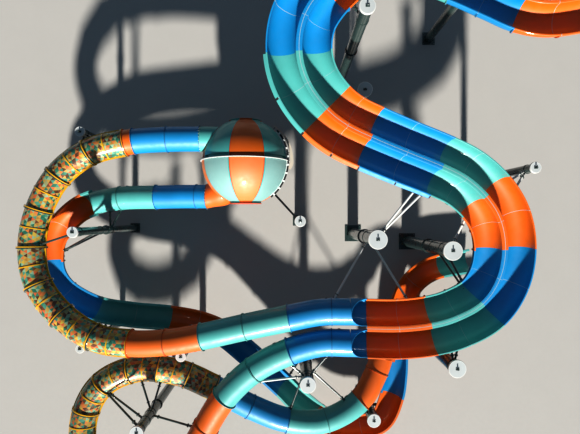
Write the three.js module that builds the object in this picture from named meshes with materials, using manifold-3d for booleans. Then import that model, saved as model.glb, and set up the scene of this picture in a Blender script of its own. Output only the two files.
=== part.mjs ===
// Water slide: a twin open flume that parts into two tubes, with a ball chamber, a return flume and masts.
// Millimetres, +Z up. The origin is the underside centre of the centre mast's base plate.
import * as THREE from 'three';
import { mergeVertices } from 'three/addons/utils/BufferGeometryUtils.js';
import Module from 'manifold-3d';

// Fibreglass sections
const TUBE_RADIUS = 750;
const LANE_RADIUS = 700;
const WALL = TUBE_RADIUS - LANE_RADIUS;
const LANE_OFFSET = 870; // from the divider's middle to the middle of each lane
const WALL_RISE = 250; // straight part of a trough's wall, above its half round
const LIP = 150;
const DIVIDER_DEPTH = 130; // below the middles of the lanes
const TROUGH_SEAT = 400; // below the middle of a trough, where its arms point
const FLANGE_RISE = 85;
const FLANGE_LENGTH = 130;
const FLANGE_BEVEL = 30;
const JOINT_GAP = 0.4;
const TUBE_SIDES = 12;
const TROUGH_SPANS = 4;
const TURN_PER_SPAN = THREE.MathUtils.degToRad(13);

// Ball chamber
const BALL_CENTRE = new THREE.Vector3(-7400, 4600, 5600);
const BALL_RADIUS = 2650;
const BALL_WALL = 60;
const GORES = 8;
const GORE_START = THREE.MathUtils.degToRad(-15); // edge of the first gore, turned about Y from straight up
const GORE_STEPS = 3;
const GORE_SLIT = 2;
const BALL_RINGS = 8;
const POLE_CAP = THREE.MathUtils.degToRad(22.6);
const NORTH_RISE = 60; // how far each pole's plate stands out of the ball
const SOUTH_RISE = 150;
const SEAM_WIDTH = 140;
const SEAM_RISE = 110;
const SEAM_SIDES = 48;
const DOOR_REACH = 2400; // how far the way in is cut along the tube that enters the ball
const WEDGE_SHIFT = 500; // a gore's wedge is placed this far from the pole axis, inside its own outline

// Masts
const MAST_SIDES = 10;
const SHAFT_SHARE = 0.38; // shaft radius against cap width
const PLATE_THICK = 40;
const CAP_THICK = 130;
const CAP_BEVEL = 20;
const LUG_RADIUS = 60;
const LUG_RISE = 70;
const PLATE_SHARE = 1.15; // base plate width against cap width
const ARM_RADIUS = 75;
const ARM_END_ROOM = 300; // an arm carries its route at least this far from the route's ends
const CARRY_GAP = 0.4;

// Stand below the ball
const STAND_DROP = 60; // how far the ring's middle lies below the ball's skin
const STAND_RING = 100;
const LEG_RADIUS = 110;
const LEG_FOOT = 600;
const LEG_TURNS = [20, 110, 200, 290];

const COLOURS = {
  orange: 0xe0782c,
  blue: 0x2c6aa8,
  teal: 0x2fa39b,
  mosaic: 0x8ba9a0,
  steel: 0x3f4f4a,
  white: 0xe4e6e2,
};

const UP = new THREE.Vector3(0, 0, 1);

const wasm = await Module();
wasm.setup();
const slide = new THREE.Group();
slide.name = 'water_slide';

// A route is a start point and the sections that follow it. Each section ends on the last of its points.
// The points before and after a route only shape its curve, so that it runs on smoothly into its neighbour.
const TWIN = {
  start: [9100, 11300, 13000],
  sections: [
    ['twin_orange_1', 'orange', [7300, 11150, 12750], [6300, 11400, 12600]],
    ['twin_blue_1', 'blue', [5100, 12050, 12400], [3450, 12900, 12200]],
    ['twin_teal_1', 'teal', [1750, 13600, 12000], [0, 13750, 11900]],
    ['twin_orange_2', 'orange', [-1700, 13350, 11750], [-2900, 12450, 11600]],
    ['twin_blue_2', 'blue', [-3950, 11000, 11400], [-4200, 9400, 11200]],
    ['twin_teal_2', 'teal', [-3800, 7950, 11000], [-2800, 6600, 10850]],
    ['twin_orange_3', 'orange', [-1800, 5850, 10700], [-500, 5250, 10550]],
    ['twin_blue_3', 'blue', [1400, 4500, 10350], [3250, 3800, 10150]],
    ['twin_teal_3', 'teal', [4500, 3200, 10000], [5600, 2250, 9900]],
    ['twin_orange_4', 'orange', [6400, 1050, 9750], [6750, -550, 9550]],
    ['twin_blue_4', 'blue', [6500, -2150, 9400], [5700, -3450, 9250]],
    ['twin_teal_4', 'teal', [4300, -4300, 9100], [3050, -4700, 8950]],
    ['twin_orange_5', 'orange', [1400, -4920, 8800], [-400, -4950, 8600]],
    ['twin_mouth', 'blue', [-850, -4950, 8550], [-1300, -4950, 8500]],
  ],
};
// The way that the twin flume faces where it hands over to the two tubes
const MOUTH_FACING = [-450, 0, -50];
const LANE_A = {
  start: [-1300, -4080, 8250],
  facing: MOUTH_FACING,
  sections: [
    ['a_blue_1', 'blue', [-2900, -4130, 8150], [-4700, -4480, 8050]],
    ['a_teal', 'teal', [-7200, -5030, 7850], [-9700, -5630, 7650]],
    ['a_orange', 'orange', [-11600, -5980, 7500], [-13850, -6100, 7350]],
    ['a_mosaic_1', 'mosaic',
      [-15900, -5800, 7250], [-18000, -4500, 7100], [-19400, -2650, 7000], [-19800, -550, 6900]],
    ['a_mosaic_2', 'mosaic',
      [-19400, 1700, 6800], [-18300, 3700, 6700], [-16600, 5050, 6550], [-14500, 5650, 6400]],
    ['a_blue_2', 'blue', [-12300, 5850, 6300], [-10400, 5900, 6200], [-8500, 5900, 6100]],
  ],
};
const LANE_B = {
  start: [-1300, -5820, 8250],
  facing: MOUTH_FACING,
  after: [2750, -6150, 3050],
  sections: [
    ['b_blue_1', 'blue', [-2900, -5850, 8150], [-4650, -6350, 8050]],
    ['b_teal_1', 'teal', [-6700, -7450, 7850], [-8400, -9100, 7700]],
    ['b_orange_1', 'orange', [-9650, -11150, 7450], [-10450, -12600, 7300]],
    ['b_mosaic_1', 'mosaic', [-12000, -15200, 6900]],
    ['b_mosaic_2', 'mosaic', [-13900, -16200, 6700], [-15800, -15500, 6450]],
    ['b_mosaic_3', 'mosaic', [-17000, -13700, 6150], [-17200, -11000, 5850], [-16200, -9100, 5650]],
    ['b_mosaic_4', 'mosaic', [-14100, -8200, 5450], [-11600, -8500, 5250], [-9400, -9550, 5000]],
    ['b_blue_2', 'blue', [-7000, -10900, 4750], [-4800, -11800, 4500]],
    ['b_teal_2', 'teal', [-2400, -11950, 4250], [-100, -10750, 4000]],
    ['b_run_out', 'orange', [950, -9150, 3750], [1700, -7400, 3500]],
  ],
};
// An open end that makes one body with the last tube of lane B
const RUN_OUT_B = {
  start: [1700, -7400, 3500],
  before: [950, -9150, 3750],
  joined: true,
  sections: [
    ['b_run_out', 'orange',
      [2750, -6150, 3050], [4600, -5600, 2450], [6500, -5200, 1900], [8500, -4100, 1400]],
  ],
};
// The way that the ball's funnel faces where it hands over to the return tube
const OUTLET_FACING = [-1600, 0, -100];
const RETURN_TUBE = {
  start: [-9900, 2500, 4700],
  facing: OUTLET_FACING,
  after: [-19000, 1050, 4100],
  sections: [
    ['return_blue_tube', 'blue', [-11500, 2500, 4600], [-13200, 2470, 4500]],
    ['return_teal_tube', 'teal', [-15700, 2380, 4350], [-17800, 1900, 4200]],
  ],
};
const RETURN_FLUME = {
  start: [-17800, 1900, 4200],
  before: [-15700, 2380, 4350],
  sections: [
    ['return_orange_1', 'orange', [-19000, 1050, 4100], [-19950, -200, 4000], [-20200, -1700, 3900]],
    ['return_blue_1', 'blue', [-20000, -2750, 3800], [-19300, -3700, 3700], [-17400, -4800, 3550]],
    ['return_teal_1', 'teal', [-15100, -5250, 3400], [-12650, -5500, 3300]],
    ['return_orange_2', 'orange', [-10500, -5950, 3150], [-9100, -6600, 3050]],
    ['return_blue_2', 'blue', [-7550, -7900, 2900], [-5000, -10300, 2650]],
    ['return_teal_2', 'teal', [-4150, -11200, 2550], [-2700, -12400, 2400]],
    ['return_orange_3', 'orange',
      [-1300, -13150, 2300], [250, -13200, 2200], [1600, -12800, 2100], [2400, -11200, 2000]],
    ['return_blue_3', 'blue', [2650, -9700, 1900], [2750, -7900, 1800], [3100, -5400, 1600]],
    ['return_run_out', 'orange', [3850, -3600, 1500], [5300, -2500, 1350], [8200, -1900, 1200]],
  ],
};
// The funnel that leads out of the ball, with its radius at each point
const FLARE = [
  { point: [-7900, 3450, 4900], radius: 1000 },
  { point: [-8900, 2850, 4800], radius: 930 },
  { point: [-9900, 2500, 4700], radius: 750 },
];

// Masts: place, height and cap width. Each arm names a route, the place on it that the arm carries, and the
// height at which the arm leaves its mast.
const MASTS = [
  {
    name: 'mast_centre', at: [0, 0], top: 9600, cap: 1030,
    arms: [
      ['twin', [2900, 3950], 8900], ['twin', [3500, 3700], 8900],
      ['laneA', [-2600, -4150], 6800], ['twin', [2700, -4900], 6800],
    ],
  },
  {
    name: 'mast_twin_east', at: [4000, -600], top: 9500, cap: 1030,
    arms: [['twin', [5300, 2500], 8900], ['twin', [5400, -3750], 8200], ['twin', [5400, -3750], 6500]],
  },
  {
    name: 'mast_twin_south', at: [4600, -7200], top: 8500, cap: 1000,
    arms: [
      ['twin', [3900, -4450], 7900], ['twin', [4900, -4050], 7900],
      ['runOutB', [4300, -5900], 1800], ['runOutB', [5300, -5650], 1800],
    ],
  },
  {
    name: 'mast_twin_corner', at: [8220, 3790], top: 9800, cap: 600,
    arms: [['twin', [5600, 2250], 8900], ['twin', [6300, 1200], 8900]],
  },
  {
    name: 'mast_twin_inner', at: [-650, 8000], top: 9400, cap: 800,
    arms: [['twin', [-2200, 6100], 8900], ['twin', [-900, 5400], 8900]],
  },
  {
    name: 'mast_head_arc', at: [-1050, 11000], top: 12500, cap: 790,
    arms: [['twin', [-1100, 13500], 11000], ['twin', [-2400, 12900], 11000]],
  },
  {
    name: 'mast_head', at: [5600, 14400], top: 12800, cap: 790,
    arms: [['twin', [4500, 12400], 11400], ['twin', [5700, 11700], 11400]],
  },
  {
    name: 'mast_lane_b', at: [-3650, -8100], top: 8500, cap: 900,
    arms: [
      ['laneB', [-1900, -5800], 7400], ['laneB', [-5200, -6650], 7400], ['laneB', [-7600, -8350], 7000],
      ['laneB', [-4900, -11750], 5400], ['laneB', [-700, -11100], 5200],
      ['returnFlume', [-5900, -9500], 2400], ['returnFlume', [-5000, -10300], 2400],
    ],
  },
  {
    name: 'mast_lane_b_low', at: [700, -11780], top: 4700, cap: 870,
    arms: [
      ['laneB', [-500, -11050], 3600], ['laneB', [300, -10250], 3300],
      ['returnFlume', [-600, -13200], 2600], ['returnFlume', [2200, -11900], 2200],
    ],
  },
  {
    name: 'mast_lane_a', at: [-11100, -7050], top: 6800, cap: 620,
    arms: [
      ['laneA', [-12100, -6000], 6000], ['laneA', [-10200, -5720], 6000],
      ['returnFlume', [-11900, -5650], 2900], ['returnFlume', [-10700, -5900], 2900],
    ],
  },
  {
    name: 'mast_loop_a_south', at: [-17050, -6580], top: 6800, cap: 540,
    arms: [
      ['laneA', [-17500, -4850], 6000], ['laneA', [-16200, -5650], 6000],
      ['returnFlume', [-16900, -4950], 3200], ['returnFlume', [-15900, -5150], 3200],
    ],
  },
  {
    name: 'mast_loop_a', at: [-16100, 400], top: 9700, cap: 600,
    arms: [
      ['laneA', [-19750, -600], 8900], ['returnFlume', [-20100, -1400], 6200],
      ['returnFlume', [-20100, -1400], 5200], ['returnTube', [-16300, 2200], 4600],
      ['returnTube', [-15100, 2400], 4600],
    ],
  },
  {
    name: 'mast_loop_a_north', at: [-17200, 6300], top: 6500, cap: 600,
    arms: [['laneA', [-17500, 4400], 5700], ['laneA', [-15800, 5350], 5700]],
  },
  {
    name: 'mast_loop_b', at: [-13100, -10700], top: 8600, cap: 770,
    arms: [
      ['laneB', [-16300, -9200], 8000], ['laneB', [-16300, -9200], 7000], ['laneB', [-9600, -11100], 6200],
      ['laneB', [-14100, -8200], 5900], ['laneB', [-12500, -8300], 5900],
    ],
  },
];
const BALL_MAST = { name: 'ball_stand', at: [-4050, 950], top: 7000, cap: 670 };

const vector = ([x, y, z]) => new THREE.Vector3(x, y, z);

// A smooth centreline through a route's points, measured along its length.
class Centreline {
  constructor({ start, before, after, facing, sections }) {
    const given = [before, start, ...sections.flatMap(([, , ...rest]) => rest), after];
    const points = given.filter(Boolean).map(vector);
    this.curve = new THREE.CatmullRomCurve3(points, false, 'centripetal');
    this.facing = facing && vector(facing).normalize();
    this.intervals = points.length - 1;
    this.steps = 24;
    this.lengths = [0];
    for (let k = 1; k <= this.intervals * this.steps; k += 1) {
      const here = this.curve.getPoint(k / (this.intervals * this.steps));
      const last = this.curve.getPoint((k - 1) / (this.intervals * this.steps));
      this.lengths.push(this.lengths[k - 1] + here.distanceTo(last));
    }
    let index = before ? 1 : 0;
    this.joints = [this.lengths[index * this.steps]];
    for (const [, , ...rest] of sections) {
      index += rest.length;
      this.joints.push(this.lengths[index * this.steps]);
    }
  }

  station(length) {
    const after = this.lengths.findIndex((value) => value >= length);
    const k = after === -1 ? this.lengths.length - 1 : Math.max(1, after);
    const share = (length - this.lengths[k - 1]) / (this.lengths[k] - this.lengths[k - 1]);
    const t = Math.min(1, (k - 1 + share) / (this.lengths.length - 1));
    const atStart = this.facing && length < this.joints[0] + 1;
    const along = atStart ? this.facing.clone() : this.curve.getTangent(t);
    const side = new THREE.Vector3().crossVectors(along, UP).normalize();
    return { at: this.curve.getPoint(t), along, side, up: new THREE.Vector3().crossVectors(side, along) };
  }

  nearest([x, y]) {
    const samples = 400;
    const total = this.lengths.at(-1);
    let best = { gap: Infinity, length: 0 };
    for (let k = 0; k <= samples; k += 1) {
      const point = this.station((total * k) / samples).at;
      const gap = Math.hypot(point.x - x, point.y - y);
      if (gap < best.gap) best = { gap, length: (total * k) / samples };
    }
    return best.length;
  }
}

// The wall of a round section, as pairs of an outer and an inner point.
function roundStrip(outer, inner, sides = TUBE_SIDES) {
  return Array.from({ length: sides }, (_, k) => {
    const angle = ((k + 0.5) / sides) * Math.PI * 2;
    const [x, y] = [Math.cos(angle), Math.sin(angle)];
    return { outer: [x * outer, y * outer], inner: [x * inner, y * inner] };
  });
}

// The half round of one lane, from its left rim to its right rim, middle at x, y.
function halfRound(x, y, outer, inner) {
  return Array.from({ length: TROUGH_SPANS + 1 }, (_, k) => {
    const angle = Math.PI + (k / TROUGH_SPANS) * Math.PI;
    const [u, v] = [Math.cos(angle), Math.sin(angle)];
    return { outer: [x + u * outer, y + v * outer], inner: [x + u * inner, y + v * inner] };
  });
}

// The wall of a closed tube. Its middle is the route.
function tubeStrip(rise, grow = 0) {
  return roundStrip(TUBE_RADIUS + rise + grow, LANE_RADIUS);
}

// A single open trough with a lip on both sides. The middle of its half round is the route.
function troughStrip(rise, grow = 0) {
  const outer = TUBE_RADIUS + rise + grow;
  const rim = LANE_RADIUS + LIP + grow;
  const under = WALL_RISE - WALL - grow;
  const lip = (sign) => [
    { outer: [sign * rim, under], inner: [sign * rim, WALL_RISE + grow] },
    { outer: [sign * outer, under - rise], inner: [sign * LANE_RADIUS, WALL_RISE + grow] },
  ];
  return [...lip(-1), ...halfRound(0, 0, outer, LANE_RADIUS), ...lip(1).reverse()];
}

// Two troughs on one flat-topped divider. The middle of the divider's top is the route.
function twinStrip(rise, grow = 0) {
  const outer = TUBE_RADIUS + rise + grow;
  const divider = LANE_OFFSET - LANE_RADIUS;
  const edge = LANE_OFFSET + LANE_RADIUS;
  const foot = -WALL_RISE - DIVIDER_DEPTH - rise - grow;
  const rim = (sign) => [
    { outer: [sign * (edge + LIP + grow), -WALL - grow], inner: [sign * (edge + LIP + grow), grow] },
    { outer: [sign * (edge + WALL + rise + grow), -WALL - rise - grow], inner: [sign * edge, grow] },
  ];
  const right = halfRound(LANE_OFFSET, -WALL_RISE, outer, LANE_RADIUS);
  const left = halfRound(-LANE_OFFSET, -WALL_RISE, outer, LANE_RADIUS);
  right[0].outer = [divider / 2, foot];
  left[TROUGH_SPANS].outer = [-divider / 2, foot];
  const top = [
    { outer: [-divider / 4, foot], inner: [-divider, 0] },
    { outer: [divider / 4, foot], inner: [divider, 0] },
  ];
  return [...rim(-1), ...left, ...top, ...right, ...rim(1).reverse()];
}

// A solid swept through stations that each hold the same number of wall pairs.
function sweepWall(stations, closed) {
  const positions = [];
  const faces = [];
  const count = stations[0].strip.length;
  for (const { at, side, up, strip } of stations) {
    for (const pair of strip) {
      for (const [x, y] of [pair.outer, pair.inner]) {
        positions.push(...at.clone().addScaledVector(side, x).addScaledVector(up, y).toArray());
      }
    }
  }
  const id = (station, pair, inner) => (station * count + (pair % count)) * 2 + inner;
  const quad = (a, b, c, d) => faces.push(a, b, c, a, c, d);
  const spans = closed ? count : count - 1;
  const last = stations.length - 1;
  for (let k = 0; k < last; k += 1) {
    for (let i = 0; i < spans; i += 1) {
      quad(id(k, i, 0), id(k, i + 1, 0), id(k + 1, i + 1, 0), id(k + 1, i, 0));
      quad(id(k, i, 1), id(k + 1, i, 1), id(k + 1, i + 1, 1), id(k, i + 1, 1));
    }
    if (!closed) {
      quad(id(k, 0, 0), id(k + 1, 0, 0), id(k + 1, 0, 1), id(k, 0, 1));
      quad(id(k, count - 1, 0), id(k, count - 1, 1), id(k + 1, count - 1, 1), id(k + 1, count - 1, 0));
    }
  }
  for (let i = 0; i < spans; i += 1) {
    quad(id(0, i, 0), id(0, i, 1), id(0, i + 1, 1), id(0, i + 1, 0));
    quad(id(last, i, 0), id(last, i + 1, 0), id(last, i + 1, 1), id(last, i, 1));
  }
  return outward(positions, faces);
}

// A filled sweep of one outline, used to trim what would run into it.
function sweepSolid(stations) {
  const positions = [];
  const faces = [];
  const count = stations[0].outline.length;
  for (const { at, side, up, outline } of stations) {
    for (const [x, y] of outline) {
      positions.push(...at.clone().addScaledVector(side, x).addScaledVector(up, y).toArray());
    }
  }
  const last = stations.length - 1;
  const centres = [0, last].map((k) => {
    const { at, up, middle = 0 } = stations[k];
    positions.push(...at.clone().addScaledVector(up, middle).toArray());
    return positions.length / 3 - 1;
  });
  for (let i = 0; i < count; i += 1) {
    const next = (i + 1) % count;
    for (let k = 0; k < last; k += 1) {
      const [a, b, c, d] = [k * count + i, k * count + next, (k + 1) * count + next, (k + 1) * count + i];
      faces.push(a, b, c, a, c, d);
    }
    faces.push(centres[0], next, i, centres[1], last * count + i, last * count + next);
  }
  return outward(positions, faces);
}

function signedVolume(positions, faces) {
  const corner = (id) => new THREE.Vector3().fromArray(positions, id * 3);
  let sum = 0;
  for (let k = 0; k < faces.length; k += 3) {
    sum += corner(faces[k]).dot(corner(faces[k + 1]).cross(corner(faces[k + 2])));
  }
  return sum / 6;
}

// Turns every face outward and gives back an indexed geometry.
function outward(positions, faces) {
  const order = signedVolume(positions, faces) < 0 ? [...faces].reverse() : faces;
  const geometry = new THREE.BufferGeometry();
  geometry.setAttribute('position', new THREE.Float32BufferAttribute(positions, 3));
  geometry.setIndex(order);
  return geometry;
}

function toManifold(geometry, matrix = new THREE.Matrix4()) {
  const plain = geometry.clone().applyMatrix4(matrix);
  plain.deleteAttribute('normal');
  plain.deleteAttribute('uv');
  const merged = mergeVertices(plain, 1e-3);
  return new wasm.Manifold(new wasm.Mesh({
    numProp: 3,
    vertProperties: new Float32Array(merged.attributes.position.array),
    triVerts: new Uint32Array(merged.index.array),
  }));
}

function toGeometry(manifold) {
  const mesh = manifold.getMesh();
  const geometry = new THREE.BufferGeometry();
  geometry.setAttribute('position', new THREE.Float32BufferAttribute(mesh.vertProperties, 3));
  geometry.setIndex(new THREE.Uint32BufferAttribute(mesh.triVerts, 1));
  return geometry;
}

const unite = (solids) => solids.reduce((sum, solid) => sum.add(solid));

function largestBody(manifold) {
  return manifold.decompose().sort((a, b) => b.volume() - a.volume())[0];
}

function addPart(name, colour, geometry) {
  const flat = geometry.toNonIndexed();
  flat.computeVertexNormals();
  const steel = colour === 'steel';
  const material = new THREE.MeshStandardMaterial({
    color: COLOURS[colour], roughness: steel ? 0.55 : 0.3, metalness: steel ? 0.6 : 0,
  });
  const mesh = new THREE.Mesh(flat, material);
  mesh.name = name;
  slide.add(mesh);
}

// Lengths along one section where its wall is drawn, closer together where the route turns.
function sectionLengths(line, from, to) {
  const probes = 12;
  let turn = 0;
  for (let k = 0; k < probes; k += 1) {
    const here = line.station(from + ((to - from) * k) / probes).along;
    turn += here.angleTo(line.station(from + ((to - from) * (k + 1)) / probes).along);
  }
  const spans = Math.max(2, Math.ceil(turn / TURN_PER_SPAN));
  return Array.from({ length: spans + 1 }, (_, k) => from + ((to - from) * k) / spans);
}

// Where one section's wall is drawn, and how far its skin stands out there for the downstream flange.
function sectionPlan(line, from, to, joined) {
  const start = joined ? from - FLANGE_LENGTH / 2 : from + JOINT_GAP / 2;
  const end = to - JOINT_GAP / 2;
  const shoulder = end - FLANGE_LENGTH;
  const plain = sectionLengths(line, start, shoulder - FLANGE_BEVEL);
  return [
    ...plain.map((length) => ({ length, rise: 0 })),
    { length: shoulder, rise: FLANGE_RISE },
    { length: end, rise: FLANGE_RISE },
  ];
}

// Each shape's wall, and the heights of its filled middle and of what the arms point at, above its route
const SHAPES = {
  tube: { strip: tubeStrip, closed: true, middle: 0, seat: 0 },
  trough: { strip: troughStrip, closed: false, middle: 0, seat: -TROUGH_SEAT },
  twin: { strip: twinStrip, closed: false, middle: -WALL_RISE, seat: -WALL_RISE },
};

function sectionWall({ line, route, shape }, index) {
  const plan = sectionPlan(line, line.joints[index], line.joints[index + 1], route.joined);
  const stations = plan.map(({ length, rise }) => ({ ...line.station(length), strip: shape.strip(rise) }));
  return sweepWall(stations, shape.closed);
}

// The outer skin of a shape as one closed outline, a little larger all round.
function clearanceOutline({ strip, closed }, rise) {
  const pairs = strip(rise, CARRY_GAP);
  const skin = pairs.map(({ outer }) => outer);
  return closed ? skin : [...skin, pairs.at(-1).inner, pairs[0].inner];
}

// What an arm has to stop at: one filled solid for each section of a route.
function clearanceSolids({ line, shape, route }) {
  return line.joints.slice(1).map((to, index) => {
    const plan = sectionPlan(line, line.joints[index], to, route.joined);
    return toManifold(sweepSolid(plan.map(({ length, rise }, k) => {
      const overlap = k === 0 ? -1 : Number(k === plan.length - 1);
      const station = line.station(length);
      station.at.addScaledVector(station.along, overlap);
      return { ...station, outline: clearanceOutline(shape, rise), middle: shape.middle };
    })));
  });
}

const ROUTES = {
  twin: { route: TWIN, shape: SHAPES.twin },
  laneA: { route: LANE_A, shape: SHAPES.tube },
  laneB: { route: LANE_B, shape: SHAPES.tube },
  runOutB: { route: RUN_OUT_B, shape: SHAPES.trough },
  returnTube: { route: RETURN_TUBE, shape: SHAPES.tube },
  returnFlume: { route: RETURN_FLUME, shape: SHAPES.trough },
};
for (const entry of Object.values(ROUTES)) {
  entry.line = new Centreline(entry.route);
  entry.solids = clearanceSolids(entry);
}

// A filled ball with its pole axis along Y and flat poles.
function ballSolid(radius) {
  const stations = Array.from({ length: BALL_RINGS + 1 }, (_, k) => {
    const tilt = POLE_CAP + ((Math.PI - 2 * POLE_CAP) * k) / BALL_RINGS;
    const outline = Array.from({ length: GORES * GORE_STEPS }, (_, i) => {
      const turn = GORE_START + (i / (GORES * GORE_STEPS)) * Math.PI * 2;
      return [Math.sin(turn) * radius * Math.sin(tilt), Math.cos(turn) * radius * Math.sin(tilt)];
    });
    const at = BALL_CENTRE.clone().add(new THREE.Vector3(0, radius * Math.cos(tilt), 0));
    return { at, side: new THREE.Vector3(1, 0, 0), up: new THREE.Vector3(0, 0, 1), outline };
  });
  return toManifold(sweepSolid(stations));
}

// Stations of a round sweep through points that each have their own radius.
function funnel(points, change) {
  const curve = new THREE.CatmullRomCurve3(points.map(({ point }) => vector(point)), false, 'centripetal');
  return points.map(({ radius }, index) => {
    const t = index / (points.length - 1);
    const along = t === 1 ? vector(OUTLET_FACING).normalize() : curve.getTangent(t);
    const side = new THREE.Vector3().crossVectors(along, UP).normalize();
    const up = new THREE.Vector3().crossVectors(side, along);
    return {
      at: curve.getPoint(t), side, up,
      strip: roundStrip(radius + WALL + change, radius + change),
      outline: roundStrip(radius + WALL + change, radius).map(({ outer }) => outer),
      lumen: roundStrip(radius + change, radius - WALL).map(({ outer }) => outer),
    };
  });
}

// Every section's wall by its part's name; sections of one name make one body.
function flumeWalls() {
  const walls = new Map();
  for (const entry of Object.values(ROUTES)) {
    entry.route.sections.forEach(([name, colour], index) => {
      const wall = sectionWall(entry, index);
      const first = walls.get(name)?.wall;
      walls.set(name, { colour, wall: first ? toGeometry(toManifold(first).add(toManifold(wall))) : wall });
    });
  }
  return walls;
}

function buildFlumes() {
  const plates = [polePlate(-1, CARRY_GAP), polePlate(1, CARRY_GAP)];
  const ballRoom = unite([ballSolid(BALL_RADIUS + CARRY_GAP), ...plates]);
  for (const [name, { colour, wall }] of flumeWalls()) {
    const entersBall = name === 'a_blue_2';
    const part = entersBall ? toGeometry(largestBody(toManifold(wall).subtract(ballRoom))) : wall;
    addPart(name, colour, part);
  }
  const flare = toManifold(sweepWall(funnel(FLARE, -JOINT_GAP), true)).subtract(ballRoom);
  addPart('ball_flare', 'orange', toGeometry(largestBody(flare)));
}

// A wedge that holds what lies between two turns about the ball's pole axis.
function goreWedge(from, to) {
  const reach = BALL_RADIUS * 2;
  const slit = GORE_SLIT / BALL_RADIUS;
  const tip = (from + to) / 2;
  const shift = [Math.sin(tip) * WEDGE_SHIFT, Math.cos(tip) * WEDGE_SHIFT];
  const rays = [from + slit, tip, to - slit].map((turn) => [Math.sin(turn) * reach, Math.cos(turn) * reach]);
  const outline = [[Math.sin(tip) * GORE_SLIT, Math.cos(tip) * GORE_SLIT], ...rays];
  return toManifold(sweepSolid([-reach, reach].map((y) => ({
    at: BALL_CENTRE.clone().add(new THREE.Vector3(shift[0], y, shift[1])),
    side: new THREE.Vector3(1, 0, 0), up: new THREE.Vector3(0, 0, 1),
    outline: outline.map(([u, v]) => [u - shift[0], v - shift[1]]),
  }))));
}

// A round plate across one pole, or the room that the gores of the other colour leave for it.
function polePlate(sign, margin = 0) {
  const inner = (BALL_RADIUS - BALL_WALL) * Math.cos(POLE_CAP) - margin;
  const rise = sign > 0 ? NORTH_RISE : SOUTH_RISE;
  const outer = BALL_RADIUS * Math.cos(POLE_CAP) + rise + margin;
  const radius = BALL_RADIUS * Math.sin(POLE_CAP) + margin;
  const plate = new THREE.CylinderGeometry(radius, radius, outer - inner, GORES * GORE_STEPS);
  const middle = BALL_CENTRE.clone().add(new THREE.Vector3(0, sign * (inner + outer) / 2, 0));
  return toManifold(plate, new THREE.Matrix4().makeTranslation(middle));
}

function buildBall() {
  const shell = ballSolid(BALL_RADIUS).subtract(ballSolid(BALL_RADIUS - BALL_WALL));
  const { line } = ROUTES.laneA;
  const end = line.joints.at(-1);
  const doorIn = toManifold(sweepSolid([end - DOOR_REACH, end].map((length) => ({
    ...line.station(length), outline: roundStrip(LANE_RADIUS, 1).map(({ outer }) => outer),
  }))));
  const lumen = funnel(FLARE, 0).map((station) => ({ ...station, outline: station.lumen }));
  const doorOut = toManifold(sweepSolid(lumen));
  const gores = (first, poleSign) => {
    const step = (Math.PI * 2) / GORES;
    const wedges = Array.from({ length: GORES / 2 }, (_, k) => {
      const from = GORE_START + (first + 2 * k) * step;
      return shell.intersect(goreWedge(from, from + step));
    });
    const joined = unite([...wedges, polePlate(poleSign)]).subtract(polePlate(-poleSign, GORE_SLIT));
    return toGeometry(largestBody(joined.subtract(doorIn).subtract(doorOut)));
  };
  addPart('ball_gores_orange', 'orange', gores(0, -1));
  addPart('ball_gores_teal', 'teal', gores(1, 1));
  const profile = [
    new THREE.Vector2(BALL_RADIUS + CARRY_GAP, -SEAM_WIDTH / 2),
    new THREE.Vector2(BALL_RADIUS + SEAM_RISE, -SEAM_WIDTH / 2),
    new THREE.Vector2(BALL_RADIUS + SEAM_RISE, SEAM_WIDTH / 2),
    new THREE.Vector2(BALL_RADIUS + CARRY_GAP, SEAM_WIDTH / 2),
    new THREE.Vector2(BALL_RADIUS + CARRY_GAP, -SEAM_WIDTH / 2),
  ];
  const seam = new THREE.LatheGeometry(profile, SEAM_SIDES);
  const place = new THREE.Matrix4().makeTranslation(BALL_CENTRE);
  addPart('ball_seam', 'white', toGeometry(toManifold(seam, place)));
}

// A straight pipe between two points.
function pipe(from, to, radius, sides = 6) {
  const along = to.clone().sub(from);
  const turn = new THREE.Quaternion();
  turn.setFromUnitVectors(new THREE.Vector3(0, 1, 0), along.clone().normalize());
  const middle = from.clone().add(to).multiplyScalar(0.5);
  const matrix = new THREE.Matrix4().compose(middle, turn, new THREE.Vector3(1, 1, 1));
  return toManifold(new THREE.CylinderGeometry(radius, radius, along.length(), sides), matrix);
}

// A mast with a square base plate, a round cap and a small lifting lug on the cap.
function mastSolid({ at: [x, y], top, cap }) {
  const shaft = cap * SHAFT_SHARE;
  const profile = [
    [0, 0], [shaft, 0], [shaft, top - CAP_THICK], [cap / 2, top - CAP_THICK], [cap / 2, top - CAP_BEVEL],
    [cap / 2 - CAP_BEVEL, top], [LUG_RADIUS, top], [LUG_RADIUS, top + LUG_RISE], [0, top + LUG_RISE],
  ].map(([radius, height]) => new THREE.Vector2(radius, height));
  const stand = new THREE.Matrix4().makeRotationX(Math.PI / 2).setPosition(x, y, 0);
  const post = toManifold(new THREE.LatheGeometry(profile, MAST_SIDES), stand);
  const plate = new THREE.BoxGeometry(cap * PLATE_SHARE, cap * PLATE_SHARE, PLATE_THICK);
  return post.add(toManifold(plate, new THREE.Matrix4().makeTranslation(x, y, PLATE_THICK / 2)));
}

// An arm from a mast out to a route.
function arm({ at: [x, y] }, [key, target, height]) {
  const { line, shape } = ROUTES[key];
  const last = line.lengths.at(-1) - ARM_END_ROOM;
  const { at, up } = line.station(Math.min(Math.max(line.nearest(target), ARM_END_ROOM), last));
  return pipe(new THREE.Vector3(x, y, height), at.clone().addScaledVector(up, shape.seat), ARM_RADIUS);
}

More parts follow.
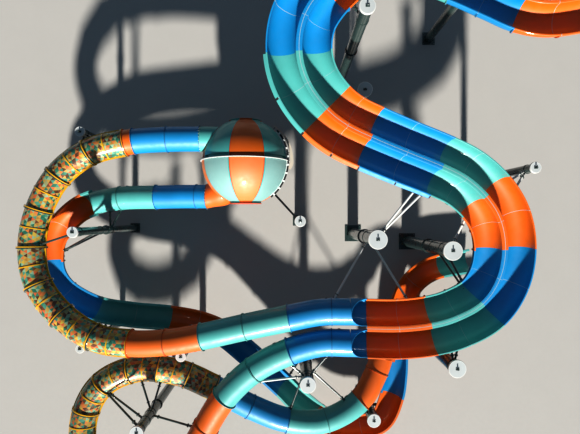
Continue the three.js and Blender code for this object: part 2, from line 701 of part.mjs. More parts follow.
// A solid without what would run into any route.
function trimmed(solid) {
  const reach = solid.boundingBox();
  let rest = solid;
  for (const { solids } of Object.values(ROUTES)) {
    for (const clearance of solids) {
      const box = clearance.boundingBox();
      const apart = [0, 1, 2].some((k) => box.min[k] > reach.max[k] || box.max[k] < reach.min[k]);
      if (!apart) rest = rest.subtract(clearance);
    }
  }
  return largestBody(rest);
}

function buildMasts() {
  for (const mast of MASTS) {
    const arms = mast.arms.map((entry) => arm(mast, entry));
    addPart(mast.name, 'steel', toGeometry(trimmed(unite([mastSolid(mast), ...arms]))));
  }
}

// The stand below the ball: a ring on four legs, tied to a mast of its own.
function buildBallStand() {
  const ringRadius = BALL_RADIUS * Math.sin(Math.PI / 4) + STAND_DROP;
  const ringHeight = BALL_CENTRE.z - BALL_RADIUS * Math.cos(Math.PI / 4) - STAND_DROP;
  const spot = (angle, radius, height) => new THREE.Vector3(
    BALL_CENTRE.x + Math.cos(angle) * radius, BALL_CENTRE.y + Math.sin(angle) * radius, height,
  );
  const ring = toManifold(new THREE.TorusGeometry(ringRadius, STAND_RING, 6, 24),
    new THREE.Matrix4().makeTranslation(BALL_CENTRE.x, BALL_CENTRE.y, ringHeight));
  const legs = LEG_TURNS.flatMap((degrees) => {
    const angle = THREE.MathUtils.degToRad(degrees);
    const foot = spot(angle, ringRadius, 0);
    const plate = new THREE.BoxGeometry(LEG_FOOT, LEG_FOOT, PLATE_THICK);
    return [
      pipe(foot, spot(angle, ringRadius, ringHeight), LEG_RADIUS, 8),
      toManifold(plate, new THREE.Matrix4().makeTranslation(foot.x, foot.y, PLATE_THICK / 2)),
    ];
  });
  const [x, y] = BALL_MAST.at;
  const tie = pipe(new THREE.Vector3(x, y, ringHeight), spot(Math.atan2(y - BALL_CENTRE.y, x - BALL_CENTRE.x),
    ringRadius, ringHeight), ARM_RADIUS);
  const flareRoom = toManifold(sweepSolid(funnel(FLARE, CARRY_GAP)));
  const stand = unite([ring, ...legs, mastSolid(BALL_MAST), tie]);
  const seamReach = (BALL_RADIUS + SEAM_RISE + CARRY_GAP) / Math.cos(Math.PI / SEAM_SIDES);
  const seamRoom = toManifold(
    new THREE.CylinderGeometry(seamReach, seamReach, SEAM_WIDTH + 2 * CARRY_GAP, SEAM_SIDES),
    new THREE.Matrix4().makeTranslation(BALL_CENTRE),
  );
  const open = stand.subtract(ballSolid(BALL_RADIUS + CARRY_GAP)).subtract(seamRoom).subtract(flareRoom);
  addPart(BALL_MAST.name, 'steel', toGeometry(trimmed(open)));
}

buildFlumes();
buildBall();
buildMasts();
buildBallStand();

export default slide;
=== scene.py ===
"""Water slide: glossy glass-fibre flumes, tubes and a ball chamber on steel masts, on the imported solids."""

import logging
import math
from collections.abc import Callable, Iterable, Sequence
from dataclasses import dataclass, field, replace
from enum import Enum

import bmesh
import bpy
from mathutils import Matrix, Vector
from mathutils.bvhtree import BVHTree


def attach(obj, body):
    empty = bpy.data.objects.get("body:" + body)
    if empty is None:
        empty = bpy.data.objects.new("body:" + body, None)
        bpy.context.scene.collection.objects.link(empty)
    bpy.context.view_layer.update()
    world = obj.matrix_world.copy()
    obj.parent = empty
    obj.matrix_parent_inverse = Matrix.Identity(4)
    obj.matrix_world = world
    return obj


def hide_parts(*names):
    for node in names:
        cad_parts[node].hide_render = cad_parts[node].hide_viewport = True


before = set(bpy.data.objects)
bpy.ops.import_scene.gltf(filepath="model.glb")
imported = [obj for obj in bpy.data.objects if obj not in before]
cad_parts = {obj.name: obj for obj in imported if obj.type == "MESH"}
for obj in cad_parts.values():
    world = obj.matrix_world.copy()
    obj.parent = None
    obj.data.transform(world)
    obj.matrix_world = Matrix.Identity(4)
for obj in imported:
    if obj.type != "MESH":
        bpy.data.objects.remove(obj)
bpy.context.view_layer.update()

LOG = logging.getLogger("water_slide")

UP = Vector((0, 0, 1))
# Angle in degrees beyond which an edge between two faces stays sharp, and how near points become one
SHARP = 38.0
MERGE = 1e-5

# Glass-fibre sections, in metres
TUBE_RADIUS = 0.75
LANE_RADIUS = 0.70
SHELL = 0.016
LANE_OFFSET = 0.87
WALL_RISE = 0.25
LIP = 0.15
TWIN_LIP = 0.08
HEAD_INSET = 0.01
BRIM = 0.22
BRIM_GAP = 0.08
BRIM_DROP = 0.02
FLANGE_RISE = 0.07
FLANGE_PLATE = 0.018
GASKET = 0.008
SEAL_LINE = 0.016
RING_RISE = 0.045
RING_HALF = 0.03
RING_GASKET = 0.010
OUTLET_LENGTH = 0.75
OUTLET_ARCH = 0.42
STATION_STEP = 0.17
# How far a band's foot reaches into the shell, and how far a shell stays clear of its joint
BITE = 0.004
JOINT_GAP = 0.001
# Where a flange's bolts sit and where its gasket ends, as shares of its rise
BOLT_SHARE = 0.55
GASKET_SHARE = 0.92
TUBE_SIDES = 40
LANE_STEPS = 18

# Ball chamber
BALL_CENTRE = Vector((-7.4, 4.6, 5.6))
BALL_AXIS = Vector((0, 1, 0))
BALL_RADIUS = 2.65
BALL_SHELL = 0.02
GORES = 8
GORE_START = math.radians(-15)
GORE_EDGE = math.radians(1.2)
POLE_CAP = math.radians(22.6)
SEAM_RISE = 0.07
SEAM_HALF = 0.022
UPPER_INSET = 0.04
RECESS_DEPTH = 0.13
RECESS_WIDTH = 0.21
COLLAR_INSET = 0.05
SOUTH_RISE = 0.145
NORTH_RISE = 0.09
POLE_RIM = 0.03
EDGE_TURN = math.radians(75)
EDGE_RISE = 0.14
CLAMP_EVERY = 0.47
SIDE_TURN = math.radians(93)
SIDE_RISE = 0.32

# Masts
MAST_SIDES = 40
SHAFT_SHARE = 0.38
PLATE_THICK = 0.04
CAP_THICK = 0.13
ARM_RADIUS = 0.062
ARM_END_ROOM = 0.3
CRADLE_WIDTH = 0.12
CRADLE_RISE = 0.03

# Where the camera stands, looking straight down
CAMERA_PLACE = Vector((-4.65, 1.20, 33.4))
CAMERA_LENS = 28.0
CAMERA_SENSOR = 36.0

Point2 = tuple[float, float]
Point3 = tuple[float, float, float]
Piece = bpy.types.Object


class Hue(Enum):
    """The colours of the moulded shells; each value is a material slot of the record."""

    ORANGE = "orange"
    BLUE = "blue"
    TEAL = "teal"
    MOSAIC = "mosaic"


class Shape(Enum):
    """What a section's cross-section is."""

    TUBE = "tube"
    TROUGH = "trough"
    TWIN = "twin"


@dataclass(frozen=True)
class Finish:
    """How one real surface looks.

    Args:
        name: The real material.
        colour: Its sRGB colour as hex digits.
        roughness: Middle roughness of the surface.
        coat: Weight of a clear layer on top.
        coat_roughness: Roughness of that layer.
        metallic: 1 for bare metal, 0 for anything painted or moulded.
        mottle: How far large soft patches change the brightness.
        grain: Height of the fine surface waviness in metres.
        grain_size: Typical width of that waviness in metres.
        haze: Strength of the surface's own broad reflection; 0.5 is plain plastic.
    """

    name: str
    colour: str
    roughness: float
    coat: float = 0.0
    coat_roughness: float = 0.08
    metallic: float = 0.0
    mottle: float = 0.06
    grain: float = 0.0
    grain_size: float = 0.05
    haze: float = 0.5


# Deep saturated gel coat; its clear, slightly wavy gloss gives the long bright highlights of the lanes
GEL_COAT = Finish(
    "gelcoat", "FFFFFF", 0.50, 0.32, 0.10, mottle=0.07, grain=0.0012, grain_size=0.30, haze=0.45
)
# The same, rougher and paler, for the ball's lower half, which faces the sun: its broad soft sheen is real,
# and its paler colour is partly chalky weathering and partly painted sheen of the sun
CHALK_AND_PAINTED_SHEEN = replace(GEL_COAT, roughness=0.55, coat=0.30, coat_roughness=0.09, haze=0.8)

FINISHES = {
    "orange": replace(GEL_COAT, name="orange_gelcoat", colour="C25A08"),
    "blue": replace(GEL_COAT, name="blue_gelcoat", colour="0278AC"),
    "teal": replace(GEL_COAT, name="teal_gelcoat", colour="4A9793"),
    # Paler copies of orange and teal for the ball's sunlit lower half: partly chalky weathering, partly
    # painted sheen of the sun
    "orange_chalk_and_painted_sheen": replace(CHALK_AND_PAINTED_SHEEN, name="chalk_and_painted_sheen_orange_gelcoat", colour="C06A2E"),
    "teal_chalk_and_painted_sheen": replace(CHALK_AND_PAINTED_SHEEN, name="chalk_and_painted_sheen_teal_gelcoat", colour="739895", mottle=0.06),
    # Warm yellow of the mosaic tubes' ribs and side flanges
    "yellow": Finish("yellow_gelcoat", "CC9B0B", 0.28, 0.5, mottle=0.05, grain=0.0008, grain_size=0.20),
    # White trim of the ball's seam, faintly chalky from the sun
    "white": Finish("white_gelcoat", "CDCFCC", 0.35, 0.4, mottle=0.04, grain=0.0006, grain_size=0.20),
    # Brighter edge of each gore, where the moulding was trimmed and sealed
    "teal_edge": Finish("bright_teal_sealed_edge", "289C97", 0.35, 0.3, mottle=0.04),
    "orange_edge": Finish("deep_orange_sealed_edge", "BF3E12", 0.35, 0.3, mottle=0.04),
    # Warm grey unpainted laminate of the rib on the ball's side, matt beside the gel coat
    "laminate": Finish("warm_grey_laminate", "B0AA9D", 0.55, mottle=0.08),
    # Pale grey-blue sealant line across the lanes, matt against the gloss
    "seal": Finish("pale_joint_sealant", "919EA3", 0.55, mottle=0.05),
    # Near-black rubber between flange plates
    "gasket": Finish("black_rubber_gasket", "15181A", 0.75, mottle=0.03),
    # Dark green-grey two-pack paint over steel pipe, glossy enough to show the sky, with faint runs
    "steel": Finish(
        "dark_green_grey_painted_steel", "2B3A38", 0.28, 0.5, mottle=0.12, grain=0.0006, grain_size=0.12
    ),
    # Light grey paint of the round mast caps
    "cap": Finish(
        "light_grey_painted_steel", "AAAFAF", 0.50, 0.1, mottle=0.10, grain=0.0005, grain_size=0.10
    ),
    # White paint of the caps' rims and of the arms that stand in the sun; the arms in shade take the dark
    # steel, which is partly painted shade of white arms
    "rod": Finish("white_painted_steel", "BBBCB9", 0.45, 0.2),
    # Dull silver of hot-dip galvanised bolts
    "zinc": Finish("galvanised_steel", "909596", 0.48, metallic=1.0, mottle=0.10),
    # Matt pale studio floor
    "floor": Finish("pale_matt_floor", "A09E9A", 0.85, mottle=0.01),
}
# The mosaic tubes' wavy gloss; the hex value stands in where their triangles can't show
MOSAIC_FINISH = Finish(
    "triangle_mosaic_gelcoat", "8F9A6A", 0.45, 0.4, 0.10, mottle=0.08, grain=0.0010, grain_size=0.30
)


@dataclass(frozen=True)
class Section:
    """One coloured length of a route.

    Args:
        node: Name of the CAD node that it replaces.
        hue: Its colour.
        points: Where the route goes, up to and including the section's end.
        bays: Lengths from the section's start at which another colour begins.
        rings: Lengths from the section's start at which a sealed ring stands; by default one stands in
            the middle of each bay of 2 m or more.
        flanged: False where the section starts without a bolted flange.
        opens: True where a tube ends as an open trough.
        brimmed: True where the right-hand lip of the twin flume is wide and slopes outwards.
        part: What its name ends with where another section already replaces the node.
    """

    node: str
    hue: Hue
    points: tuple[Point3, ...]
    bays: tuple[tuple[float, Hue], ...] = ()
    rings: tuple[float, ...] | None = None
    flanged: bool = True
    opens: bool = False
    brimmed: bool = False
    part: str = ""


@dataclass(frozen=True)
class Route:
    """A chain of sections that follow one smooth line.

    Args:
        shape: The cross-section.
        start: First point of the line.
        sections: The lengths that follow.
        before: A point that only shapes the line's start.
        after: A point that only shapes the line's end.
        facing: Direction of the first cross-section where it isn't the line's own.
    """

    shape: Shape
    start: Point3
    sections: tuple[Section, ...]
    before: Point3 | None = None
    after: Point3 | None = None
    facing: Point3 | None = None


@dataclass(frozen=True)
class Arm:
    """Arms from a mast to the shells of one route.

    Args:
        route: Name of the route that they carry.
        height: Height at which they leave the mast.
        places: Where on the plan each one reaches the route.
        finish: Their paint: white for arms in the sun, dark steel for arms in shade, which is partly painted
            shade.
    """

    route: str
    height: float
    places: tuple[Point2, ...]
    finish: str = "steel"


@dataclass(frozen=True)
class MastSpec:
    """A mast and its arms.

    Args:
        node: Name of the CAD node that it replaces.
        at: Its place on the ground.
        top: Height of its cap.
        cap: Width of its cap.
        arms: What leaves it.
    """

    node: str
    at: Point2
    top: float
    cap: float
    arms: tuple[Arm, ...] = ()


# Where an arm aims in a shell's cross-section, measured up from the route's line
SEATS = {Shape.TUBE: 0.0, Shape.TROUGH: -0.40, Shape.TWIN: -WALL_RISE}

MOUTH_FACING = (-0.45, 0.0, -0.05)
OUTLET_FACING = (-1.6, 0.0, -0.1)
FLARE_POINTS = ((-7.9, 3.45, 4.9), (-8.9, 2.85, 4.8), (-9.9, 2.5, 4.7))
FLARE_RADII = (1.0, 0.93, 0.75)

TWIN_SECTIONS = (
    Section("twin_orange_1", Hue.ORANGE, ((7.3, 11.15, 12.75), (6.3, 11.4, 12.6))),
    Section("twin_blue_1", Hue.BLUE, ((5.1, 12.05, 12.4), (3.45, 12.9, 12.2))),
    Section("twin_teal_1", Hue.TEAL, ((1.75, 13.6, 12.0), (0.0, 13.75, 11.9))),
    Section("twin_orange_2", Hue.ORANGE, ((-1.7, 13.35, 11.75), (-2.9, 12.45, 11.6))),
    Section("twin_blue_2", Hue.BLUE, ((-3.95, 11.0, 11.4), (-4.2, 9.4, 11.2))),
    Section("twin_teal_2", Hue.TEAL, ((-3.8, 7.95, 11.0), (-2.8, 6.6, 10.85)), brimmed=True),
    Section("twin_orange_3", Hue.ORANGE, ((-1.8, 5.85, 10.7), (-0.5, 5.25, 10.55)), brimmed=True),
    Section("twin_blue_3", Hue.BLUE, ((1.4, 4.5, 10.35), (3.25, 3.8, 10.15)), brimmed=True),
    Section("twin_teal_3", Hue.TEAL, ((4.5, 3.2, 10.0), (5.6, 2.25, 9.9))),
    Section("twin_orange_4", Hue.ORANGE, ((6.4, 1.05, 9.75), (6.75, -0.55, 9.55))),
    Section("twin_blue_4", Hue.BLUE, ((6.5, -2.15, 9.4), (5.7, -3.45, 9.25))),
    Section("twin_teal_4", Hue.TEAL, ((4.3, -4.3, 9.1), (3.05, -4.7, 8.95))),
    Section("twin_orange_5", Hue.ORANGE, ((1.4, -4.92, 8.8), (-0.4, -4.95, 8.6))),
    Section("twin_mouth", Hue.BLUE, ((-0.85, -4.95, 8.55), (-1.3, -4.95, 8.5))),
)
LANE_A_SECTIONS = (
    Section("a_blue_1", Hue.BLUE, ((-2.9, -4.13, 8.15), (-4.7, -4.48, 8.05)), rings=(1.03,), flanged=False),
    Section("a_teal", Hue.TEAL, ((-7.2, -5.03, 7.85), (-9.7, -5.63, 7.65))),
    Section("a_orange", Hue.ORANGE, ((-11.6, -5.98, 7.5), (-13.85, -6.1, 7.35))),
    Section(
        "a_mosaic_1",
        Hue.MOSAIC,
        ((-15.9, -5.8, 7.25), (-18.0, -4.5, 7.1), (-19.4, -2.65, 7.0), (-19.8, -0.55, 6.9)),
    ),
    Section(
        "a_mosaic_2",
        Hue.MOSAIC,
        ((-19.4, 1.7, 6.8), (-18.3, 3.7, 6.7), (-16.6, 5.05, 6.55), (-14.5, 5.65, 6.4)),
    ),
    Section(
        "a_blue_2",
        Hue.BLUE,
        ((-12.3, 5.85, 6.3), (-10.4, 5.9, 6.2), (-8.5, 5.9, 6.1)),
        ((0.0, Hue.ORANGE), (0.5, Hue.BLUE), (4.45, Hue.TEAL)),
    ),
)
LANE_B_SECTIONS = (
    Section("b_blue_1", Hue.BLUE, ((-2.9, -5.85, 8.15), (-4.65, -6.35, 8.05)), rings=(1.03,), flanged=False),
    Section("b_teal_1", Hue.TEAL, ((-6.7, -7.45, 7.85), (-8.4, -9.1, 7.7))),
    Section("b_orange_1", Hue.ORANGE, ((-9.65, -11.15, 7.45), (-10.45, -12.6, 7.3))),
    Section("b_mosaic_1", Hue.MOSAIC, ((-12.0, -15.2, 6.9),)),
    Section("b_mosaic_2", Hue.MOSAIC, ((-13.9, -16.07, 6.7), (-15.8, -15.5, 6.45))),
    Section("b_mosaic_3", Hue.MOSAIC, ((-17.0, -13.7, 6.15), (-17.2, -11.0, 5.85), (-16.2, -9.1, 5.65))),
    Section("b_mosaic_4", Hue.MOSAIC, ((-14.1, -8.2, 5.45), (-11.6, -8.5, 5.25), (-9.4, -9.55, 5.0))),
    Section("b_blue_2", Hue.BLUE, ((-7.0, -10.9, 4.75), (-4.8, -11.8, 4.5))),
    Section("b_teal_2", Hue.TEAL, ((-2.4, -11.95, 4.25), (-0.1, -10.75, 4.0))),
    Section(
        "b_run_out",
        Hue.ORANGE,
        ((0.95, -9.15, 3.75), (1.7, -7.4, 3.5)),
        rings=(2.2,),
        opens=True,
        part="_tube",
    ),
)
RUN_OUT_B_SECTIONS = (
    Section(
        "b_run_out", Hue.ORANGE, ((2.75, -6.15, 3.05), (4.6, -5.6, 2.45), (6.5, -5.2, 1.9), (8.5, -4.1, 1.4))
    ),
)
RETURN_TUBE_SECTIONS = (
    Section("return_blue_tube", Hue.BLUE, ((-11.5, 2.5, 4.6), (-13.2, 2.47, 4.5)), rings=(0.7,)),
    Section("return_teal_tube", Hue.TEAL, ((-15.7, 2.38, 4.35), (-17.8, 1.9, 4.2)), opens=True),
)
RETURN_FLUME_SECTIONS = (
    Section("return_orange_1", Hue.ORANGE, ((-19.0, 1.05, 4.1), (-19.95, -0.2, 4.0), (-20.2, -1.7, 3.9))),
    Section("return_blue_1", Hue.BLUE, ((-20.0, -2.75, 3.8), (-19.3, -3.7, 3.7), (-17.4, -4.8, 3.55))),
    Section("return_teal_1", Hue.TEAL, ((-15.1, -5.25, 3.4), (-12.65, -5.5, 3.3))),
    Section("return_orange_2", Hue.ORANGE, ((-10.5, -5.95, 3.15), (-9.1, -6.6, 3.05))),
    Section("return_blue_2", Hue.BLUE, ((-7.55, -7.9, 2.9), (-5.0, -10.3, 2.65))),
    Section("return_teal_2", Hue.TEAL, ((-4.15, -11.2, 2.55), (-2.7, -12.4, 2.4))),
    Section(
        "return_orange_3",
        Hue.ORANGE,
        ((-1.3, -13.15, 2.3), (0.25, -13.2, 2.2), (1.6, -12.8, 2.1), (2.4, -11.2, 2.0)),
    ),
    Section("return_blue_3", Hue.BLUE, ((2.65, -9.7, 1.9), (2.75, -7.9, 1.8), (3.1, -5.4, 1.6))),
    Section(
        "return_run_out",
        Hue.ORANGE,
        ((3.85, -3.6, 1.5), (5.3, -2.5, 1.35), (8.2, -1.9, 1.2)),
        ((0.0, Hue.ORANGE), (4.6, Hue.TEAL)),
    ),
)

ROUTES: dict[str, Route] = {
    "twin": Route(Shape.TWIN, (9.1, 11.3, 13.0), TWIN_SECTIONS),
    "laneA": Route(Shape.TUBE, (-1.3, -4.08, 8.25), LANE_A_SECTIONS, facing=MOUTH_FACING),
    "laneB": Route(
        Shape.TUBE, (-1.3, -5.82, 8.25), LANE_B_SECTIONS, after=(2.75, -6.15, 3.05), facing=MOUTH_FACING
    ),
    "runOutB": Route(Shape.TROUGH, (1.7, -7.4, 3.5), RUN_OUT_B_SECTIONS, before=(0.95, -9.15, 3.75)),
    "returnTube": Route(
        Shape.TUBE, (-9.9, 2.5, 4.7), RETURN_TUBE_SECTIONS, after=(-19.0, 1.05, 4.1), facing=OUTLET_FACING
    ),
    "returnFlume": Route(Shape.TROUGH, (-17.8, 1.9, 4.2), RETURN_FLUME_SECTIONS, before=(-15.7, 2.38, 4.35)),
}

# Arms in the sun are painted white (rod), arms in shade dark steel: partly painted shade
MASTS: tuple[MastSpec, ...] = (
    MastSpec("mast_centre", (0.0, 0.0), 9.6, 1.03, (
        Arm("twin", 8.9, ((2.9, 3.95), (3.5, 3.7)), "rod"),
        Arm("laneA", 6.8, ((-2.6, -4.15),), "rod"),
        Arm("twin", 6.8, ((2.7, -4.9),), "rod"),
    )),
    MastSpec("mast_twin_east", (4.0, -0.6), 9.5, 1.03, (
        Arm("twin", 8.9, ((5.3, 2.5),), "rod"),
        Arm("twin", 8.2, ((5.4, -3.75),)),
        Arm("twin", 6.5, ((5.4, -3.75),)),
    )),
    MastSpec("mast_twin_south", (4.6, -7.2), 8.5, 1.0, (
        Arm("twin", 7.9, ((3.9, -4.45), (4.9, -4.05))),
        Arm("runOutB", 1.8, ((4.3, -5.9), (5.3, -5.65))),
    )),
    MastSpec("mast_twin_corner", (8.22, 3.79), 9.8, 0.6, (
        Arm("twin", 8.9, ((5.6, 2.25), (6.3, 1.2)), "rod"),
    )),
    MastSpec("mast_twin_inner", (-0.65, 8.0), 9.4, 0.80, (
        Arm("twin", 8.9, ((-2.2, 6.1), (-0.9, 5.4))),
    )),
    MastSpec("mast_head_arc", (-1.05, 11.0), 12.5, 0.79, (
        Arm("twin", 11.0, ((-1.1, 13.5), (-2.4, 12.9))),
    )),
    MastSpec("mast_head", (5.6, 14.4), 12.8, 0.79, (
        Arm("twin", 11.4, ((4.5, 12.4), (5.7, 11.7))),
    )),
    MastSpec("mast_lane_b", (-3.65, -8.1), 8.5, 0.9, (
        Arm("laneB", 7.4, ((-1.9, -5.8), (-5.2, -6.65))),
        Arm("laneB", 7.0, ((-7.6, -8.35),), "rod"),
        Arm("laneB", 5.4, ((-4.9, -11.75),)),
        Arm("laneB", 5.2, ((-0.7, -11.1),)),
        Arm("returnFlume", 2.4, ((-5.9, -9.5), (-5.0, -10.3))),
    )),
    MastSpec("mast_lane_b_low", (0.7, -11.78), 4.7, 0.87, (
        Arm("laneB", 3.6, ((-0.5, -11.05),)),
        Arm("laneB", 3.3, ((0.3, -10.25),)),
        Arm("returnFlume", 2.6, ((-0.6, -13.2),)),
        Arm("returnFlume", 2.2, ((2.2, -11.9),)),
    )),
    MastSpec("mast_lane_a", (-11.1, -7.05), 6.8, 0.62, (
        Arm("laneA", 6.0, ((-12.1, -6.0), (-10.2, -5.72))),
        Arm("returnFlume", 2.9, ((-11.9, -5.65), (-10.7, -5.9))),
    )),
    MastSpec("mast_loop_a_south", (-17.05, -6.58), 6.8, 0.54, (
        Arm("laneA", 6.0, ((-17.5, -4.85), (-16.2, -5.65))),
        Arm("returnFlume", 3.2, ((-16.9, -4.95), (-15.9, -5.15))),
    )),
    MastSpec("mast_loop_a", (-16.1, 0.4), 9.7, 0.60, (
        Arm("laneA", 8.9, ((-19.75, -0.6),)),
        Arm("returnFlume", 6.2, ((-20.1, -1.4),)),
        Arm("returnFlume", 5.2, ((-20.1, -1.4),)),
        Arm("returnTube", 4.6, ((-16.3, 2.2), (-15.1, 2.4))),
    )),
    MastSpec("mast_loop_a_north", (-17.2, 6.3), 6.5, 0.60, (
        Arm("laneA", 5.7, ((-17.5, 4.4), (-15.8, 5.35))),
    )),
    MastSpec("mast_loop_b", (-13.1, -10.7), 8.6, 0.77, (
        Arm("laneB", 8.0, ((-16.3, -9.2),)),
        Arm("laneB", 7.0, ((-16.3, -9.2),)),
        Arm("laneB", 6.2, ((-9.6, -11.1),)),
        Arm("laneB", 5.9, ((-14.1, -8.2), (-12.5, -8.3))),
    )),
)
BALL_MAST = MastSpec("ball_stand", (-4.05, 0.95), 7.0, 0.67)


def linear(hex_digits: str) -> tuple[float, float, float, float]:
    """Turns sRGB hex digits into a linear colour with alpha 1."""
    parts = [int(hex_digits[k : k + 2], 16) / 255 for k in (0, 2, 4)]
    return (*[c / 12.92 if c <= 0.04045 else ((c + 0.055) / 1.055) ** 2.4 for c in parts], 1.0)


def spread(low: float, high: float, steps: int) -> list[float]:
    """Evenly spaced values from low to high, both included."""
    return [low + (high - low) * k / steps for k in range(steps + 1)]


def outward(angle: float) -> Vector:
    """The level direction at an angle."""
    return Vector((math.cos(angle), math.sin(angle), 0))


def middles(low: float, high: float, count: int) -> list[float]:
    """The middle of each of a number of equal stretches from low to high."""
    return [low + (high - low) * (k + 0.5) / count for k in range(count)]


@dataclass
class Graph:
    """A short way to add and join nodes in one tree."""

    tree: bpy.types.NodeTree

    def add(
        self, kind: str, values: dict[str | int, object] | None = None, **settings: object
    ) -> bpy.types.Node:
        """Adds a node, with its properties from settings and its inputs from values.

        Args:
            kind: The node's type name.
            values: Input name or index, with a number or the socket that feeds it.
            **settings: Properties of the node.

        Returns:
            The new node.
        """
        node = self.tree.nodes.new(kind)
        for name, value in settings.items():
            setattr(node, name, value)
        for key, value in (values or {}).items():
            if isinstance(value, bpy.types.NodeSocket):
                self.tree.links.new(value, node.inputs[key])
            else:
                node.inputs[key].default_value = value
        return node


@dataclass
class MaterialShop:
    """Makes each procedural material once."""

    mosaic_size: float = 0.24
    mosaic_colours: tuple[str, ...] = (
        "256450", "B45C30", "A78944", "4A8470", "643C21", "819F84",
        "997230", "31745F", "BA723A", "8B8B63", "4D2F19", "B3993C",
    )
    made: dict[str, bpy.types.Material] = field(default_factory=dict)

    def get(self, key: str) -> bpy.types.Material:
        """Gives back the material of one finish, or the mosaic.

        Args:
            key: The finish's key, or mosaic.

        Returns:
            The material.
        """
        if key not in self.made:
            self.made[key] = self._mosaic() if key == "mosaic" else self._plain(FINISHES[key])
        return self.made[key]

    @staticmethod
    def _new(name: str) -> tuple[bpy.types.Material, Graph, bpy.types.Node]:
        """Starts a material and gives back its graph and its shader.

        Args:
            name: The material's name.

        Returns:
            The material, its graph and its shader.
        """
        material = bpy.data.materials.new(name)
        material.use_nodes = True
        graph = Graph(material.node_tree)
        return material, graph, material.node_tree.nodes["Principled BSDF"]

    def _surface(self, graph: Graph, shader: bpy.types.Node, finish: Finish, colour: object) -> None:
        """Adds soft patches, uneven gloss and fine waviness to a colour.

        Args:
            graph: The material's graph.
            shader: Its shader.
            finish: The finish.
            colour: Socket that gives the plain colour.
        """
        where = graph.add("ShaderNodeTexCoord").outputs["Object"]
        patches = graph.add(
            "ShaderNodeTexNoise", {"Vector": where, "Scale": 0.55, "Detail": 3.0, "Roughness": 0.6}
        )
        bright = graph.add(
            "ShaderNodeMapRange",
            {"Value": patches.outputs["Fac"], "From Min": 0.3, "From Max": 0.7}
            | {"To Min": 1.0 - finish.mottle, "To Max": 1.0 + finish.mottle},
        )
        shade = graph.add("ShaderNodeHueSaturation", {"Value": bright.outputs["Result"], "Color": colour})
        graph.tree.links.new(shade.outputs["Color"], shader.inputs["Base Color"])
        shader.inputs["Roughness"].default_value = finish.roughness
        wear = graph.add("ShaderNodeTexNoise", {"Vector": where, "Scale": 3.5, "Detail": 4.0})
        gloss = graph.add(
            "ShaderNodeMapRange",
            {
                "Value": wear.outputs["Fac"],
                "To Min": finish.roughness * 0.75,
                "To Max": min(1.0, finish.roughness * 1.3),
            },
        )
        graph.tree.links.new(gloss.outputs["Result"], shader.inputs["Roughness"])
        shader.inputs["Metallic"].default_value = finish.metallic
        shader.inputs["Specular IOR Level"].default_value = finish.haze
        shader.inputs["Coat Weight"].default_value = finish.coat
        shader.inputs["Coat Roughness"].default_value = finish.coat_roughness
        if finish.grain:
            waves = graph.add(
                "ShaderNodeTexNoise", {"Vector": where, "Scale": 1 / finish.grain_size, "Detail": 2.0}
            )
            bump = graph.add(
                "ShaderNodeBump", {"Height": waves.outputs["Fac"], "Distance": finish.grain, "Strength": 0.6}
            )
            graph.tree.links.new(bump.outputs["Normal"], shader.inputs["Normal"])

    def _plain(self, finish: Finish) -> bpy.types.Material:
        """A surface of one colour.

        Args:
            finish: The finish.

        Returns:
            The material.
        """
        material, graph, shader = self._new(finish.name)
        shader.inputs["Base Color"].default_value = linear(finish.colour)
        colour = graph.add("ShaderNodeRGB")
        colour.outputs[0].default_value = linear(finish.colour)
        self._surface(graph, shader, finish, colour.outputs[0])
        return material

    def _mosaic(self) -> bpy.types.Material:
        """A gel coat with triangles of mosaic_size in greens, oranges and sand, laid out by chance.

        Returns:
            The material.
        """
        material, graph, shader = self._new(MOSAIC_FINISH.name)
        shader.inputs["Base Color"].default_value = linear(MOSAIC_FINISH.colour)
        place = graph.add("ShaderNodeSeparateXYZ", {"Vector": graph.add("ShaderNodeUVMap").outputs["UV"]})
        terms = {"x": place.outputs["X"], "y": place.outputs["Y"]}
        for name, operation, *given in (
            ("row", "DIVIDE", "y", self.mosaic_size * math.sqrt(3) / 2),
            ("column", "DIVIDE", "x", self.mosaic_size),
            ("shift", "MULTIPLY", "row", 0.5),
            ("skewed", "SUBTRACT", "column", "shift"),
            ("cell_x", "FLOOR", "skewed"),
            ("cell_y", "FLOOR", "row"),
            ("inside_x", "FRACT", "skewed"),
            ("inside_y", "FRACT", "row"),
            ("across", "ADD", "inside_x", "inside_y"),
            ("half", "GREATER_THAN", "across", 1.0),
        ):
            values = {k: terms.get(term, term) for k, term in enumerate(given)}
            terms[name] = graph.add("ShaderNodeMath", values, operation=operation).outputs[0]
        key = graph.add(
            "ShaderNodeCombineXYZ", {"X": terms["cell_x"], "Y": terms["cell_y"], "Z": terms["half"]}
        )
        chance = graph.add(
            "ShaderNodeTexWhiteNoise", {"Vector": key.outputs["Vector"]}, noise_dimensions="3D"
        )
        ramp = graph.add("ShaderNodeValToRGB", {"Fac": chance.outputs["Value"]})
        ramp.color_ramp.interpolation = "CONSTANT"
        stops = ramp.color_ramp.elements
        while len(stops) < len(self.mosaic_colours):
            stops.new(1.0)
        for k, colour in enumerate(self.mosaic_colours):
            stops[k].position = k / len(self.mosaic_colours)
            stops[k].color = linear(colour)
        self._surface(graph, shader, MOSAIC_FINISH, ramp.outputs["Color"])
        return material


SHOP = MaterialShop()


@dataclass
class Station:
    """A cross-section plane: where it is and which way it faces."""

    at: Vector
    along: Vector
    side: Vector
    up: Vector

    @classmethod
    def facing(cls, at: Vector, along: Vector) -> "Station":
        """The plane square to a direction, with its sides level."""
        side = along.cross(UP).normalized()
        return cls(at, along, side, side.cross(along))

    @property
    def turn(self) -> Matrix:
        """Turns a box so that its x, y and z lie on the plane's side, along and up."""
        return Matrix((self.side, self.along, self.up)).transposed()

    def point(self, x: float, y: float) -> Vector:
        """Places a cross-section point in the object's frame."""
        return self.at + self.side * x + self.up * y

    def moved(self, way: float) -> "Station":
        """The same plane, moved along."""
        return Station(self.at + self.along * way, self.along, self.side, self.up)


